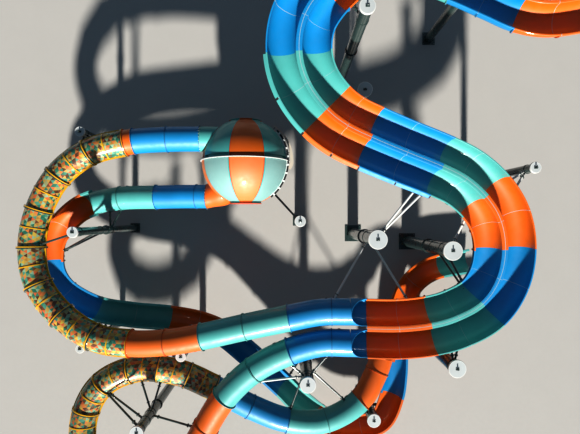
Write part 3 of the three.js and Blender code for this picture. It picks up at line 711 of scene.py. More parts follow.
@dataclass
class Centreline:
    """A smooth centripetal curve through a route's points, measured along its length."""

    route: Route
    steps: int = 24
    samples: int = 400
    points: list[Vector] = field(init=False)
    spans: int = field(init=False)
    facing: Vector | None = field(init=False)
    lengths: list[float] = field(init=False)
    joints: list[float] = field(init=False)

    def __post_init__(self) -> None:
        """Measures the curve and finds the lengths at which its sections join."""
        route = self.route
        inner = [route.start, *(p for section in route.sections for p in section.points)]
        ends = [[place] if place else [] for place in (route.before, route.after)]
        points = [Vector(place) for place in (*ends[0], *inner, *ends[1])]
        self.points = [points[0] * 2 - points[1], *points, points[-1] * 2 - points[-2]]
        self.spans = len(points) - 1
        self.facing = Vector(route.facing).normalized() if route.facing else None
        self.lengths = [0.0]
        last = self._place(0.0)
        for k in range(1, self.spans * self.steps + 1):
            here = self._place(k / self.steps)
            self.lengths.append(self.lengths[-1] + (here - last).length)
            last = here
        index = 1 if route.before else 0
        self.joints = [self.lengths[index * self.steps]]
        for section in route.sections:
            index += len(section.points)
            self.joints.append(self.lengths[index * self.steps])

    def _place(self, t: float) -> Vector:
        """Where the curve is at a number of spans from its start.

        Args:
            t: Number of spans, with its share of the last one.

        Returns:
            The point.
        """
        span = min(int(t), self.spans - 1)
        p0, p1, p2, p3 = self.points[span : span + 4]
        w = t - span
        d0, d1, d2 = ((b - a).length ** 0.5 for a, b in ((p0, p1), (p1, p2), (p2, p3)))
        m1 = ((p1 - p0) / d0 - (p2 - p0) / (d0 + d1) + (p2 - p1) / d1) * d1
        m2 = ((p2 - p1) / d1 - (p3 - p1) / (d1 + d2) + (p3 - p2) / d2) * d1
        return p1 + m1 * w + (p2 * 3 - p1 * 3 - m1 * 2 - m2) * w * w + (p1 * 2 - p2 * 2 + m1 + m2) * w**3

    def station(self, length: float) -> Station:
        """Gives the cross-section plane at a length along the line.

        Args:
            length: Distance from the line's start.

        Returns:
            The plane.
        """
        k = next((i for i, value in enumerate(self.lengths) if value >= length and i), len(self.lengths) - 1)
        share = (length - self.lengths[k - 1]) / (self.lengths[k] - self.lengths[k - 1])
        t = min(float(self.spans), (k - 1 + share) / self.steps)
        if self.facing and length < self.joints[0] + 1e-3:
            along = self.facing.copy()
        else:
            low, high = max(0.0, t - 1e-3), min(float(self.spans), t + 1e-3)
            along = (self._place(high) - self._place(low)).normalized()
        return Station.facing(self._place(t), along)

    def planes(self, first: float, last: float, steps: int) -> list[Station]:
        """Evenly spaced cross-section planes from one length to another."""
        return [self.station(s) for s in spread(first, last, steps)]

    def nearest(self, place: Point2) -> float:
        """Length along the line at which it passes closest to a place on the plan."""
        samples = spread(0.0, self.lengths[-1], self.samples)
        return min(samples, key=lambda s: (self.station(s).at.xy - Vector(place)).length)


@dataclass(frozen=True)
class Wall:
    """A cross-section as pairs of outer and inner points.

    Args:
        outer: Points of the outer skin.
        inner: Points of the inner skin, one for each outer point.
        closed: True where the last pair joins the first.
        marked: Finish of single spans of the inner skin, by index.
    """

    outer: tuple[Point2, ...]
    inner: tuple[Point2, ...]
    closed: bool = False
    marked: dict[int, str] = field(default_factory=dict)


def arc(x: float, y: float, radius: float, start: float, end: float, steps: int) -> list[Point2]:
    """Points along an arc, angles in degrees."""
    turns = [math.radians(degrees) for degrees in spread(start, end, steps)]
    return [(x + radius * math.cos(a), y + radius * math.sin(a)) for a in turns]


def round_wall(outer: float, inner: float) -> Wall:
    """The wall of a round section."""
    skins = (tuple(arc(0, 0, radius, 0, 360, TUBE_SIDES)[:-1]) for radius in (outer, inner))
    return Wall(*skins, True)


def brim_wall(drop: float = 0.0) -> Wall:
    """The sloping outer part of the twin flume's wide right-hand lip, or the lower piece in its notches,
    which is painted black as their shade.

    Args:
        drop: How much lower and narrower it is.

    Returns:
        The cross-section.
    """
    foot, rim = LANE_OFFSET + LANE_RADIUS + 0.055, LANE_OFFSET + LANE_RADIUS + BRIM - drop
    low = (foot - rim) * 0.85 - drop
    outer = ((rim - 0.010, low - 0.065), (rim - 0.012, low - 0.012), (foot + 0.002, -SHELL * 1.2 - drop))
    return Wall(outer, ((rim, low - 0.065), (rim, low), (foot, -0.001 - drop)))


def rolled_lip(edge: float, top: float, width: float) -> tuple[list[Point2], list[Point2]]:
    """A flat lip from its turned-down rim inwards to the wall, on the right-hand side.

    Args:
        edge: Distance of the wall's inner skin from the middle.
        top: Height of the lip.
        width: How far it reaches outwards.

    Returns:
        The points of its outer and of its inner skin.
    """
    reach = edge + width
    outer = [
        (reach - 0.010, top - 0.075), (reach - 0.010, top - 0.022), (reach - 0.020, top - SHELL),
        (edge + 0.025, top - SHELL), (edge + SHELL, top - 0.030),
    ]
    inner = [
        (reach, top - 0.075), (reach, top - 0.012), (reach - 0.012, top), (edge + 0.014, top),
        (edge, top - 0.014),
    ]
    return outer, inner


def mirrored(points: Iterable[Point2]) -> list[Point2]:
    """The same points on the other side."""
    return [(-x, y) for x, y in points]


def trough_wall() -> Wall:
    """One open trough with a rolled lip on both sides.

    Returns:
        The cross-section.
    """
    lip_outer, lip_inner = rolled_lip(LANE_RADIUS, WALL_RISE, LIP)
    outer = mirrored(lip_outer) + arc(0, 0, LANE_RADIUS + SHELL, 180, 360, LANE_STEPS) + lip_outer[::-1]
    inner = mirrored(lip_inner) + arc(0, 0, LANE_RADIUS, 180, 360, LANE_STEPS) + lip_inner[::-1]
    return Wall(tuple(outer), tuple(inner))


def twin_wall() -> Wall:
    """Two troughs on one divider, whose crown carries a sealed line.

    Returns:
        The cross-section.
    """
    lip_outer, lip_inner = rolled_lip(LANE_OFFSET + LANE_RADIUS, 0, TWIN_LIP)
    edge = LANE_OFFSET - LANE_RADIUS
    crown_inner = [
        (edge, -0.034), (edge - 0.018, -0.014), (0.118, -0.014), (0.112, -0.004), (0.012, -0.004),
        (0.011, 0.0),
    ]
    crown_outer = [
        (edge - SHELL, -0.050), (edge - 0.026, -0.014 - SHELL), (0.114, -0.014 - SHELL), (0.108, -0.020),
        (0.010, -0.020), (0.009, -0.016),
    ]
    right_outer = arc(LANE_OFFSET, -WALL_RISE, LANE_RADIUS + SHELL, 180, 360, LANE_STEPS)
    right_inner = arc(LANE_OFFSET, -WALL_RISE, LANE_RADIUS, 180, 360, LANE_STEPS)
    half_outer = crown_outer[::-1] + right_outer + lip_outer[::-1]
    half_inner = crown_inner[::-1] + right_inner + lip_inner[::-1]
    crown = len(half_inner) - 1
    return Wall(
        tuple(mirrored(half_outer)[::-1] + half_outer),
        tuple(mirrored(half_inner)[::-1] + half_inner),
        marked={crown - 1: "seal", crown: "seal", crown + 1: "seal"},
    )


def under_band(x: float, y: float, inner: float, rise: float, top: float) -> Wall:
    """A U-shaped band under one lane, from rim to rim, that follows the lane's outer skin.

    Args:
        x: The lane's middle, sideways.
        y: The lane's middle, upwards.
        inner: The band's inner radius.
        rise: Its thickness.
        top: Height of its ends.

    Returns:
        The cross-section.
    """
    outer = [(x - inner - rise, top), *arc(x, y, inner + rise, 180, 360, LANE_STEPS), (x + inner + rise, top)]
    core = [(x - inner, top), *arc(x, y, inner, 180, 360, LANE_STEPS), (x + inner, top)]
    return Wall(tuple(outer), tuple(core))


@dataclass
class MeshMaker:
    """Collects faces with their finish and texture place, then makes one object of them."""

    verts: list[Vector] = field(default_factory=list)
    faces: list[tuple[int, ...]] = field(default_factory=list)
    finishes: list[str] = field(default_factory=list)
    uvs: list[tuple[Point2, ...]] = field(default_factory=list)

    def quad(self, ids: tuple[int, ...], finish: str, uv: tuple[Point2, ...] | None = None) -> None:
        """Adds one face.

        Args:
            ids: Numbers of its points.
            finish: Its finish.
            uv: Their texture places.
        """
        self.faces.append(ids)
        self.finishes.append(finish)
        self.uvs.append(uv or tuple((0.0, 0.0) for _ in ids))

    def sweep(
        self, stations: Sequence[Station], wall: Wall, finishes: Sequence[str] | str, start: float = 0.0
    ) -> None:
        """Adds a wall swept through stations.

        Args:
            stations: The cross-section planes in order.
            wall: The cross-section.
            finishes: One finish for each stretch between stations, or one for all.
            start: Length along the route at the first station, for the texture.
        """
        count = len(wall.outer)
        base = len(self.verts)
        lengths = [start]
        for before, here in zip(stations, stations[1:]):
            lengths.append(lengths[-1] + (here.at - before.at).length)
        for station in stations:
            for skin in (wall.outer, wall.inner):
                self.verts.extend(station.point(x, y) for x, y in skin)
        girth = {0: self._girth(wall.outer), 1: self._girth(wall.inner)}
        rows = [finishes] * (len(stations) - 1) if isinstance(finishes, str) else list(finishes)
        spans = count if wall.closed else count - 1

        def vid(k: int, i: int, skin: int) -> int:
            """Number of a point at a station, on the outer or the inner skin."""
            return base + (k * 2 + skin) * count + i % count

        def place(k: int, i: int, skin: int) -> Point2:
            """Texture place of a point: along the route and round the skin."""
            return (lengths[k], girth[skin][i])

        for k, row in enumerate(rows):
            for i in range(spans):
                for skin in (0, 1):
                    corners = ((k, i), (k, i + 1), (k + 1, i + 1), (k + 1, i))
                    corners = corners if skin == 0 else corners[::-1]
                    finish = wall.marked.get(i, row) if skin else row
                    self.quad(
                        tuple(vid(a, b, skin) for a, b in corners),
                        finish,
                        tuple(place(a, b, skin) for a, b in corners),
                    )
            if not wall.closed:
                self.quad((vid(k, 0, 0), vid(k + 1, 0, 0), vid(k + 1, 0, 1), vid(k, 0, 1)), row)
                last = count - 1
                self.quad((vid(k, last, 0), vid(k, last, 1), vid(k + 1, last, 1), vid(k + 1, last, 0)), row)
        end = len(stations) - 1
        for i in range(spans):
            self.quad((vid(0, i, 0), vid(0, i, 1), vid(0, i + 1, 1), vid(0, i + 1, 0)), rows[0])
            self.quad((vid(end, i, 0), vid(end, i + 1, 0), vid(end, i + 1, 1), vid(end, i, 1)), rows[-1])

    @staticmethod
    def _girth(skin: Sequence[Point2]) -> list[float]:
        """Lengths round a skin up to each of its points.

        Args:
            skin: The points of a skin.

        Returns:
            The lengths.
        """
        total = [0.0]
        for (x0, y0), (x1, y1) in zip(skin, [*skin[1:], skin[0]]):
            total.append(total[-1] + math.hypot(x1 - x0, y1 - y0))
        return total

    def revolve(
        self,
        profile: Sequence[Point2],
        foot: Vector,
        sides: int,
        finish: Callable[[int, int], str],
        axis: Vector = UP,
        first: float = 0.0,
    ) -> None:
        """Adds a profile of radius and height turned about an axis.

        Args:
            profile: Radius and height in order; it may start and end on the axis.
            foot: The axis's zero point.
            sides: Number of steps round.
            finish: Gives the finish from the profile step and the side step.
            axis: Direction of the axis.
            first: Angle of its first step.
        """
        spin = UP.rotation_difference(axis)
        base = len(self.verts)
        for angle in spread(first, first + math.tau, sides)[:-1]:
            for radius, height in profile:
                point = Vector((math.cos(angle) * radius, math.sin(angle) * radius, height))
                self.verts.append(foot + spin @ point)
        count = len(profile)
        for k in range(sides):
            left, right = base + k * count, base + ((k + 1) % sides) * count
            for i in range(count - 1):
                self.quad((left + i, right + i, right + i + 1, left + i + 1), finish(i, k))

    def hull(self, rings: Sequence[Sequence[Sequence[Vector]]], finish: str) -> None:
        """Adds a round shell through rings, each a circle of outer points and one of inner points.

        Args:
            rings: The rings in order.
            finish: Finish of the faces.
        """
        base, count, end = len(self.verts), len(rings[0][0]), len(rings) - 1
        for ring in rings:
            for skin in ring:
                self.verts.extend(skin)

        def vid(k: int, i: int, skin: int) -> int:
            """Number of a point in a ring, on the outer or the inner skin."""
            return base + (k * 2 + skin) * count + i % count

        for i in range(count):
            for k in range(end):
                for skin in (0, 1):
                    corners = ((k, i), (k, i + 1), (k + 1, i + 1), (k + 1, i))
                    self.quad(tuple(vid(a, b, skin) for a, b in corners), finish)
            for k in (0, end):
                self.quad((vid(k, i, 0), vid(k, i, 1), vid(k, i + 1, 1), vid(k, i + 1, 0)), finish)

    def cylinder(self, start: Vector, end: Vector, radius: float, finish: str, sides: int) -> None:
        """Adds a straight closed round bar between two points.

        Args:
            start: Middle of one end.
            end: Middle of the other.
            radius: Its radius.
            finish: Its finish.
            sides: Number of sides.
        """
        along = end - start
        profile = [(0.0, 0.0), (radius, 0.0), (radius, along.length), (0.0, along.length)]
        self.revolve(profile, start, sides, lambda i, k: finish, along.normalized())

    def box(self, middle: Vector, size: Vector, finish: str, turn: Matrix | None = None) -> None:
        """Adds a box about its middle, turned where asked.

        Args:
            middle: The box's middle.
            size: Its widths.
            finish: Finish of the faces.
            turn: How it is turned.
        """
        base = len(self.verts)
        for z in (-0.5, 0.5):
            for x, y in ((-0.5, -0.5), (0.5, -0.5), (0.5, 0.5), (-0.5, 0.5)):
                corner = Vector((x * size.x, y * size.y, z * size.z))
                self.verts.append(middle + (turn @ corner if turn else corner))
        for ids in ((3, 2, 1, 0), (4, 5, 6, 7), (0, 1, 5, 4), (1, 2, 6, 5), (2, 3, 7, 6), (3, 0, 4, 7)):
            self.quad(tuple(base + i for i in ids), finish)

    def ribbon(self, outer: Sequence[Vector], inner: Sequence[Vector], thick: Vector, finish: str) -> None:
        """Adds a curved plate between two edges, as thick as the given vector.

        Args:
            outer: Points of the outer edge.
            inner: Points of the inner edge.
            thick: Its thickness and the direction of that.
            finish: Finish of the faces.
        """
        base = len(self.verts)
        for far, near in zip(outer, inner):
            self.verts.extend((far - thick / 2, far + thick / 2, near + thick / 2, near - thick / 2))
        for k in range(len(outer) - 1):
            for i in range(4):
                j = (i + 1) % 4
                first = base + 4 * k
                self.quad((first + i, first + j, first + 4 + j, first + 4 + i), finish)
        last = base + 4 * (len(outer) - 1)
        self.quad((base, base + 1, base + 2, base + 3), finish)
        self.quad((last + 3, last + 2, last + 1, last), finish)

    def build(self, name: str, sharp: float = SHARP) -> Piece:
        """Makes the object, with smooth faces and sharp edges where it turns quickly.

        Args:
            name: The object's name.
            sharp: Angle in degrees beyond which an edge stays sharp.

        Returns:
            The object.
        """
        mesh = bpy.data.meshes.new(name)
        mesh.from_pydata([tuple(v) for v in self.verts], [], self.faces)
        names = list(dict.fromkeys(self.finishes))
        for key in names:
            mesh.materials.append(SHOP.get(key))
        mesh.polygons.foreach_set("material_index", [names.index(key) for key in self.finishes])
        layer = mesh.uv_layers.new(name="UVMap")
        flat = [value for uv in self.uvs for pair in uv for value in pair]
        layer.data.foreach_set("uv", flat)
        mesh.validate()
        obj = new_object(name, mesh)
        tidy_mesh(mesh, sharp)
        return obj


def new_object(name: str, data: bpy.types.ID) -> Piece:
    """Puts new data into the scene as an object.

    Args:
        name: The object's name.
        data: Its mesh, lamp or camera.

    Returns:
        The object.
    """
    obj = bpy.data.objects.new(name, data)
    bpy.context.scene.collection.objects.link(obj)
    return obj


def make_plain(piece: Piece, modifier: bpy.types.Modifier) -> None:
    """Keeps what a modifier makes of a piece as its plain mesh.

    Args:
        piece: The object, whose mesh is replaced.
        modifier: Its only modifier, which is removed.
    """
    graph = bpy.context.evaluated_depsgraph_get()
    made = bpy.data.meshes.new_from_object(piece.evaluated_get(graph))
    piece.modifiers.remove(modifier)
    old, piece.data = piece.data, made
    bpy.data.meshes.remove(old)


def tidy_mesh(mesh: bpy.types.Mesh, sharp: float) -> None:
    """Merges doubled points, turns faces outward and sets the shading.

    Args:
        mesh: The mesh, which is changed.
        sharp: Angle in degrees beyond which an edge stays sharp.
    """
    work = bmesh.new()
    work.from_mesh(mesh)
    bmesh.ops.remove_doubles(work, verts=work.verts, dist=MERGE)
    bmesh.ops.dissolve_degenerate(work, edges=work.edges, dist=MERGE)
    bmesh.ops.recalc_face_normals(work, faces=work.faces)
    work.to_mesh(mesh)
    work.free()
    mesh.polygons.foreach_set("use_smooth", [True] * len(mesh.polygons))
    mesh.set_sharp_from_angle(angle=math.radians(sharp))


def dress(piece: Piece, slot: str, *nodes: str) -> Piece:
    """Lets a piece ride on the object's one body and stand for CAD nodes.

    Args:
        piece: The finished object.
        slot: Its material slot in the record.
        *nodes: The CAD nodes that it replaces.

    Returns:
        The same object.
    """
    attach(piece, "root")
    if nodes:
        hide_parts(*nodes)
    LOG.info("%s: %d faces in slot %s", piece.name, len(piece.data.polygons), slot)
    return piece


def cut_away(piece: Piece, cutter: Piece) -> None:
    """Takes one solid out of a piece and keeps the result as its plain mesh.

    Args:
        piece: The object that is cut.
        cutter: The solid that is taken out of it.
    """
    modifier = piece.modifiers.new("cut", "BOOLEAN")
    modifier.operation = "DIFFERENCE"
    modifier.solver = "EXACT"
    modifier.object = cutter
    make_plain(piece, modifier)
    piece.data.set_sharp_from_angle(angle=math.radians(SHARP))


@dataclass
class InstanceField:
    """Places one small shape at many points with Geometry Nodes and gives back a plain mesh."""

    name: str
    finish: str
    sides: int
    radius: float
    depth: float
    points: list[Vector] = field(default_factory=list)
    axes: list[Vector] = field(default_factory=list)

    def put(self, point: Vector, axis: Vector) -> None:
        """Adds a place and the direction that the shape's axis takes there."""
        self.points.append(point)
        self.axes.append(axis)

    def _tree(self) -> bpy.types.NodeTree:
        """The node tree, with the shape's radius, depth and finish as inputs.

        Returns:
            The node tree.
        """
        tree = bpy.data.node_groups.new(self.name, "GeometryNodeTree")
        face = tree.interface
        face.new_socket("Geometry", in_out="INPUT", socket_type="NodeSocketGeometry")
        for label in ("Radius", "Depth"):
            face.new_socket(label, in_out="INPUT", socket_type="NodeSocketFloat")
        face.new_socket("Finish", in_out="INPUT", socket_type="NodeSocketMaterial")
        face.new_socket("Geometry", in_out="OUTPUT", socket_type="NodeSocketGeometry")
        graph = Graph(tree)
        given = graph.add("NodeGroupInput")
        shape = graph.add(
            "GeometryNodeMeshCylinder",
            {"Vertices": self.sides, "Radius": given.outputs["Radius"], "Depth": given.outputs["Depth"]},
        )
        axis = graph.add("GeometryNodeInputNamedAttribute", {"Name": "axis"}, data_type="FLOAT_VECTOR")
        turn = graph.add("FunctionNodeAlignRotationToVector", {"Vector": axis.outputs["Attribute"]}, axis="Z")
        placed = graph.add(
            "GeometryNodeInstanceOnPoints",
            {
                "Points": given.outputs["Geometry"],
                "Instance": shape.outputs["Mesh"],
                "Rotation": turn.outputs["Rotation"],
            },
        )
        real = graph.add("GeometryNodeRealizeInstances", {"Geometry": placed.outputs["Instances"]})
        painted = graph.add(
            "GeometryNodeSetMaterial",
            {"Geometry": real.outputs["Geometry"], "Material": given.outputs["Finish"]},
        )
        graph.add("NodeGroupOutput", {"Geometry": painted.outputs["Geometry"]})
        return tree

    def build(self, slot: str) -> Piece:
        """Evaluates the tree once and returns the finished piece.

        Args:
            slot: Material slot of the piece.

        Returns:
            The piece.
        """
        mesh = bpy.data.meshes.new(self.name)
        mesh.from_pydata([tuple(p) for p in self.points], [], [])
        attribute = mesh.attributes.new("axis", "FLOAT_VECTOR", "POINT")
        attribute.data.foreach_set("vector", [value for axis in self.axes for value in axis])
        obj = new_object(self.name, mesh)
        modifier = obj.modifiers.new("field", "NODES")
        modifier.node_group = self._tree()
        values = {"Radius": self.radius, "Depth": self.depth, "Finish": SHOP.get(self.finish)}
        for item in modifier.node_group.interface.items_tree:
            if item.in_out == "INPUT" and item.name in values:
                modifier[item.identifier] = values[item.name]
        make_plain(obj, modifier)
        LOG.info("%s: %d places", self.name, len(self.points))
        return dress(obj, slot)


@dataclass(frozen=True)
class Run:
    """What everything on one shell shares.

    Args:
        maker: Where the faces go.
        line: The route's line.
        shape: The route's cross-section.
        finish: Finish of the faces.
    """

    maker: MeshMaker
    line: Centreline
    shape: Shape
    finish: str


@dataclass
class Flumes:
    """Builds the shells, flanges and joint lines of every route."""

    lines: dict[str, Centreline]
    bolts: InstanceField
    seam_bolts: InstanceField
    rib_every: float = 1.02
    rail: float = 0.08
    rail_foot: float = 0.006
    # Width and height share of the dark steel ring before each flange rib: partly a clamp ring, partly
    # painted shadow of the rib
    clamp_and_shade_ring: float = 0.07
    clamp_and_shade_rise: float = 0.9
    seam_bolt_every: float = 0.42
    bolts_round_tube: int = 24
    bolts_round_lane: int = 12
    seam_bolt_side: float = 0.055
    rib_edge: float = 0.002
    flange_rib: tuple[float, float] = (0.095, 0.03)
    plain_rib: tuple[float, float] = (0.03, 0.034)
    rail_bands: tuple[tuple[float, float, float, str], ...] = (
        (0.006, 0.030, 0.0, "yellow"),
        (-0.030, -0.006, 0.0, "yellow"),
        (-0.006, 0.006, 0.012, "gasket"),
    )
    rail_lug: Point3 = (0.06, 0.09, 0.08)
    rail_lug_off: float = 0.058
    rail_lug_room: float = 0.06
    arch_lead: float = 0.97
    arch_power: float = 0.9
    arch_rim: float = 0.022
    shells: dict[str, list[Piece]] = field(default_factory=dict)
    walls: dict[Shape, Wall] = field(init=False)

    def __post_init__(self) -> None:
        """Draws the cross-section of each shape."""
        self.walls = {
            Shape.TUBE: round_wall(TUBE_RADIUS, TUBE_RADIUS - SHELL),
            Shape.TROUGH: trough_wall(),
            Shape.TWIN: twin_wall(),
        }

    def build(self) -> None:
        """Builds every section and keeps each route's shells together."""
        for key, route in ROUTES.items():
            line = self.lines[key]
            made: list[Piece] = []
            for index, section in enumerate(route.sections):
                start, end = line.joints[index], line.joints[index + 1]
                if section.node == "twin_mouth":
                    made.append(self._mouths(line, start, end))
                elif section.hue is Hue.MOSAIC:
                    made.append(self._mosaic(line, section, start, end))
                else:
                    made += self._section(route.shape, line, section, start, end)
            self.shells[key] = made

    def _plan(
        self, start: float, end: float, marks: Sequence[float], body: str
    ) -> tuple[list[float], list[str]]:
        """Lengths at which a shell is drawn and each stretch's finish, with a sealant line at each mark.

        Args:
            start: Length at which it starts.
            end: Length at which it ends.
            marks: Lengths at which sealant lines lie.
            body: Finish between them.

        Returns:
            The lengths, and the finish of each stretch between two.
        """
        edges = [start]
        finishes: list[str] = []
        for mark in [*marks, end]:
            stop = mark if mark == end else mark - SEAL_LINE / 2
            steps = max(1, math.ceil((stop - edges[-1]) / STATION_STEP))
            first = edges[-1]
            edges += spread(first, stop, steps)[1:]
            finishes += [body] * steps
            if mark != end:
                edges.append(mark + SEAL_LINE / 2)
                finishes.append("seal")
        return edges, finishes

    def _section(
        self, shape: Shape, line: Centreline, section: Section, start: float, end: float
    ) -> list[Piece]:
        """Builds the shell and the joints of each bay of a section.

        Args:
            shape: The route's cross-section.
            line: The route's line.
            section: The section.
            start: Length at which it starts.
            end: Length at which it ends.

        Returns:
            One shell for each bay.
        """
        bays = section.bays or ((0.0, section.hue),)
        made = []
        for number, (offset, hue) in enumerate(bays):
            low = start + offset
            if shape is Shape.TWIN and low == line.joints[0]:
                low += HEAD_INSET
            high = start + bays[number + 1][0] if number + 1 < len(bays) else end
            stop = high - OUTLET_LENGTH if section.opens else high
            run = Run(MeshMaker(), line, shape, hue.value)
            rings = self._rings(section, start, low, high)
            lengths, finishes = self._plan(low + JOINT_GAP, stop - JOINT_GAP, rings, hue.value)
            run.maker.sweep([line.station(s) for s in lengths], self.walls[shape], finishes, low)
            for mark in rings:
                self._ring(run, mark)
            if section.flanged or number:
                self._flange(run, low, 1)
            if section.opens:
                self._outlet(run, stop, high)
            self._flange(replace(run, shape=Shape.TROUGH) if section.opens else run, high, -1)
            if shape is Shape.TWIN:
                self._seam_bolts(line, low, high)
            if section.brimmed:
                self._brim(run, [low, *rings, high])
            stands = hue is section.hue and not section.part
            bay = section.part if hue is section.hue else f"_{hue.value}_bay"
            piece = run.maker.build(f"{section.node}{bay}_shell")
            if section.node == "a_blue_2" and number == len(bays) - 1:
                cut_away(piece, BallChamber.plug(BALL_RADIUS - 0.005))
            made.append(dress(piece, hue.value, *([section.node] if stands else [])))
        return made

    @staticmethod
    def _rings(section: Section, start: float, low: float, high: float) -> list[float]:
        """Lengths along the route at which a bay has a sealed ring.

        Args:
            section: The section.
            start: Length at which the section starts.
            low: Length at which the bay starts.
            high: Length at which it ends.

        Returns:
            The lengths.
        """
        if section.rings is not None:
            return [start + place for place in section.rings if low < start + place < high]
        return [] if high - low < 2.0 else [(low + high) / 2]

    def _ring(self, run: Run, mark: float) -> None:
        """Adds a low ring round a shell, with a gasket between its halves.

        Args:
            run: The shell's run.
            mark: Length at which the ring stands.
        """
        marks = (mark - RING_HALF, mark - RING_GASKET, mark + RING_GASKET, mark + RING_HALF)
        planes = [run.line.station(s) for s in marks]
        for band in self._bands(run.shape, RING_RISE):
            run.maker.sweep(planes[:2], band, run.finish)
            run.maker.sweep(planes[2:], band, run.finish)
        for band in self._bands(run.shape, RING_RISE * 0.8):
            run.maker.sweep(planes[1:3], band, "gasket")

    def _flange(self, run: Run, mark: float, way: int) -> None:
        """Adds one flange plate on the given side of a joint, with its half of the gasket and its bolts.

        Args:
            run: The shell's run.
            mark: Length at which the joint is.
            way: 1 for the plate after the joint, -1 for the one before it.
        """
        line = run.line
        low = mark + way * GASKET / 2
        planes = [line.station(s) for s in sorted((low, low + way * FLANGE_PLATE))]
        for band in self._bands(run.shape, FLANGE_RISE):
            run.maker.sweep(planes, band, run.finish)
        inner = sorted((mark, low))
        for band in self._bands(run.shape, FLANGE_RISE * GASKET_SHARE):
            run.maker.sweep([line.station(s) for s in inner], band, "gasket")
        open_end = run.shape is Shape.TWIN and mark < line.joints[0] + 2 * HEAD_INSET
        if way > 0 and not open_end:
            self._bolt_ring(line.station(mark), run.shape, FLANGE_RISE)

    @staticmethod
    def _bands(shape: Shape, rise: float) -> list[Wall]:
        """The cross-sections of a band round a shape's outside, one for each lane.

        Args:
            shape: The route's cross-section.
            rise: The band's height above the shell.

        Returns:
            The cross-sections.
        """
        if shape is Shape.TUBE:
            return [round_wall(TUBE_RADIUS + rise, TUBE_RADIUS - BITE)]
        radius = LANE_RADIUS + SHELL - 0.002
        if shape is Shape.TROUGH:
            return [under_band(0, 0, radius, rise, WALL_RISE - 0.03)]
        return [under_band(x, -WALL_RISE, radius, rise, -0.03) for x in (-LANE_OFFSET, LANE_OFFSET)]

    def _bolt_ring(self, station: Station, shape: Shape, rise: float) -> None:
        """Puts bolts round a flange.

        Args:
            station: Plane of the joint.
            shape: The route's cross-section.
            rise: The flange's height above the shell.
        """
        if shape is Shape.TUBE:
            for x, y in arc(0, 0, TUBE_RADIUS + rise * BOLT_SHARE, 0, 360, self.bolts_round_tube)[:-1]:
                self.bolts.put(station.point(x, y), station.along)
            return
        lanes = [(-LANE_OFFSET, -WALL_RISE), (LANE_OFFSET, -WALL_RISE)]
        centres = [(0.0, 0.0)] if shape is Shape.TROUGH else lanes
        reach = LANE_RADIUS + SHELL + rise * BOLT_SHARE
        for cx, cy in centres:
            for x, y in arc(cx, cy, reach, 186, 354, self.bolts_round_lane):
                self.bolts.put(station.point(x, y), station.along)

    def _seam_bolts(self, line: Centreline, low: float, high: float) -> None:
        """Puts two rows of bolts along the divider's middle.

        Args:
            line: The route's line.
            low: Length of the start.
            high: Length of the end.
        """
        count = round((high - low) / self.seam_bolt_every)
        for length in middles(low, high, count):
            station = line.station(length)
            for x in (-self.seam_bolt_side, self.seam_bolt_side):
                self.seam_bolts.put(station.point(x, -0.006), station.up)

    @staticmethod
    def _brim(run: Run, marks: Sequence[float]) -> None:
        """Adds the sloping part of a wide lip between joints, with a gap at each joint for its bolts, and in
        each gap a lower black piece as painted shade.

        Args:
            run: The shell's run.
            marks: Lengths at which the joints are.
        """
        for before, after in zip(marks, marks[1:]):
            first, last = before + BRIM_GAP / 2, after - BRIM_GAP / 2
            steps = max(1, math.ceil((last - first) / STATION_STEP))
            run.maker.sweep(run.line.planes(first, last, steps), brim_wall(), run.finish)
            # A lower black piece fills each notch: painted shade of the gap
            notch = [run.line.station(s) for s in (last, last + BRIM_GAP)]
            run.maker.sweep(notch, brim_wall(BRIM_DROP), "gasket")

    def _mosaic(self, line: Centreline, section: Section, start: float, end: float) -> Piece:
        """A patterned tube with a rib about every metre, each second one a full flange, and side rails.

        Args:
            line: The route's line.
            section: The section.
            start: Length at which it starts.
            end: Length at which it ends.

        Returns:
            The tube.
        """
        maker = MeshMaker()
        lengths, finishes = self._plan(start + JOINT_GAP, end - JOINT_GAP, [], "mosaic")
        planes = [line.station(s) for s in lengths]
        maker.sweep(planes, self.walls[Shape.TUBE], finishes, start)
        piece = maker.build(f"{section.node}_shell")
        trim = MeshMaker()
        foot = TUBE_RADIUS - BITE
        first, last = start + self.rib_edge, end - self.rib_edge
        count = max(2, round((end - start) / self.rib_every / 2) * 2)
        for k, mark in enumerate(spread(start, end, count)):
            whole = k % 2 == 0
            rise, half = self.flange_rib if whole else self.plain_rib
            low, high = max(first, mark - half), min(last, mark + half)
            # A dark steel ring just before each flange rib: partly a clamp ring, partly painted shadow of the
            # rib
            if whole:
                back = max(first, low - self.clamp_and_shade_ring)
                ring = round_wall(TUBE_RADIUS + rise * self.clamp_and_shade_rise, foot)
                trim.sweep([line.station(back), line.station(low)], ring, "steel")
            rib = round_wall(TUBE_RADIUS + rise, foot)
            trim.sweep([line.station(low), line.station(high)], rib, "yellow")
            if whole:
                room = self.rail_lug_room
                self._rail_lugs(trim, line.station(min(max(mark, start + room), end - room)))
            if whole and 0 < k < count:
                self._bolt_ring(line.station(mark), Shape.TUBE, rise)
        for side in (-1, 1):
            near, far = side * (TUBE_RADIUS - self.rail_foot), side * (TUBE_RADIUS + self.rail)
            for low, high, less, finish in self.rail_bands:
                reach = far - side * less
                trim.sweep(planes, Wall(((near, high), (reach, high)), ((near, low), (reach, low))), finish)
        dress(trim.build(f"{section.node}_ribs"), "mosaic")
        return dress(piece, "mosaic", section.node)

    def _rail_lugs(self, maker: MeshMaker, station: Station) -> None:
        """Adds a small clamp on both side rails beside a flange.

        Args:
            maker: Where the faces go.
            station: The cross-section plane.
        """
        for side in (-1, 1):
            middle = station.point(side * (TUBE_RADIUS + self.rail_lug_off), 0.0)
            maker.box(middle, Vector(self.rail_lug), "steel", station.turn)

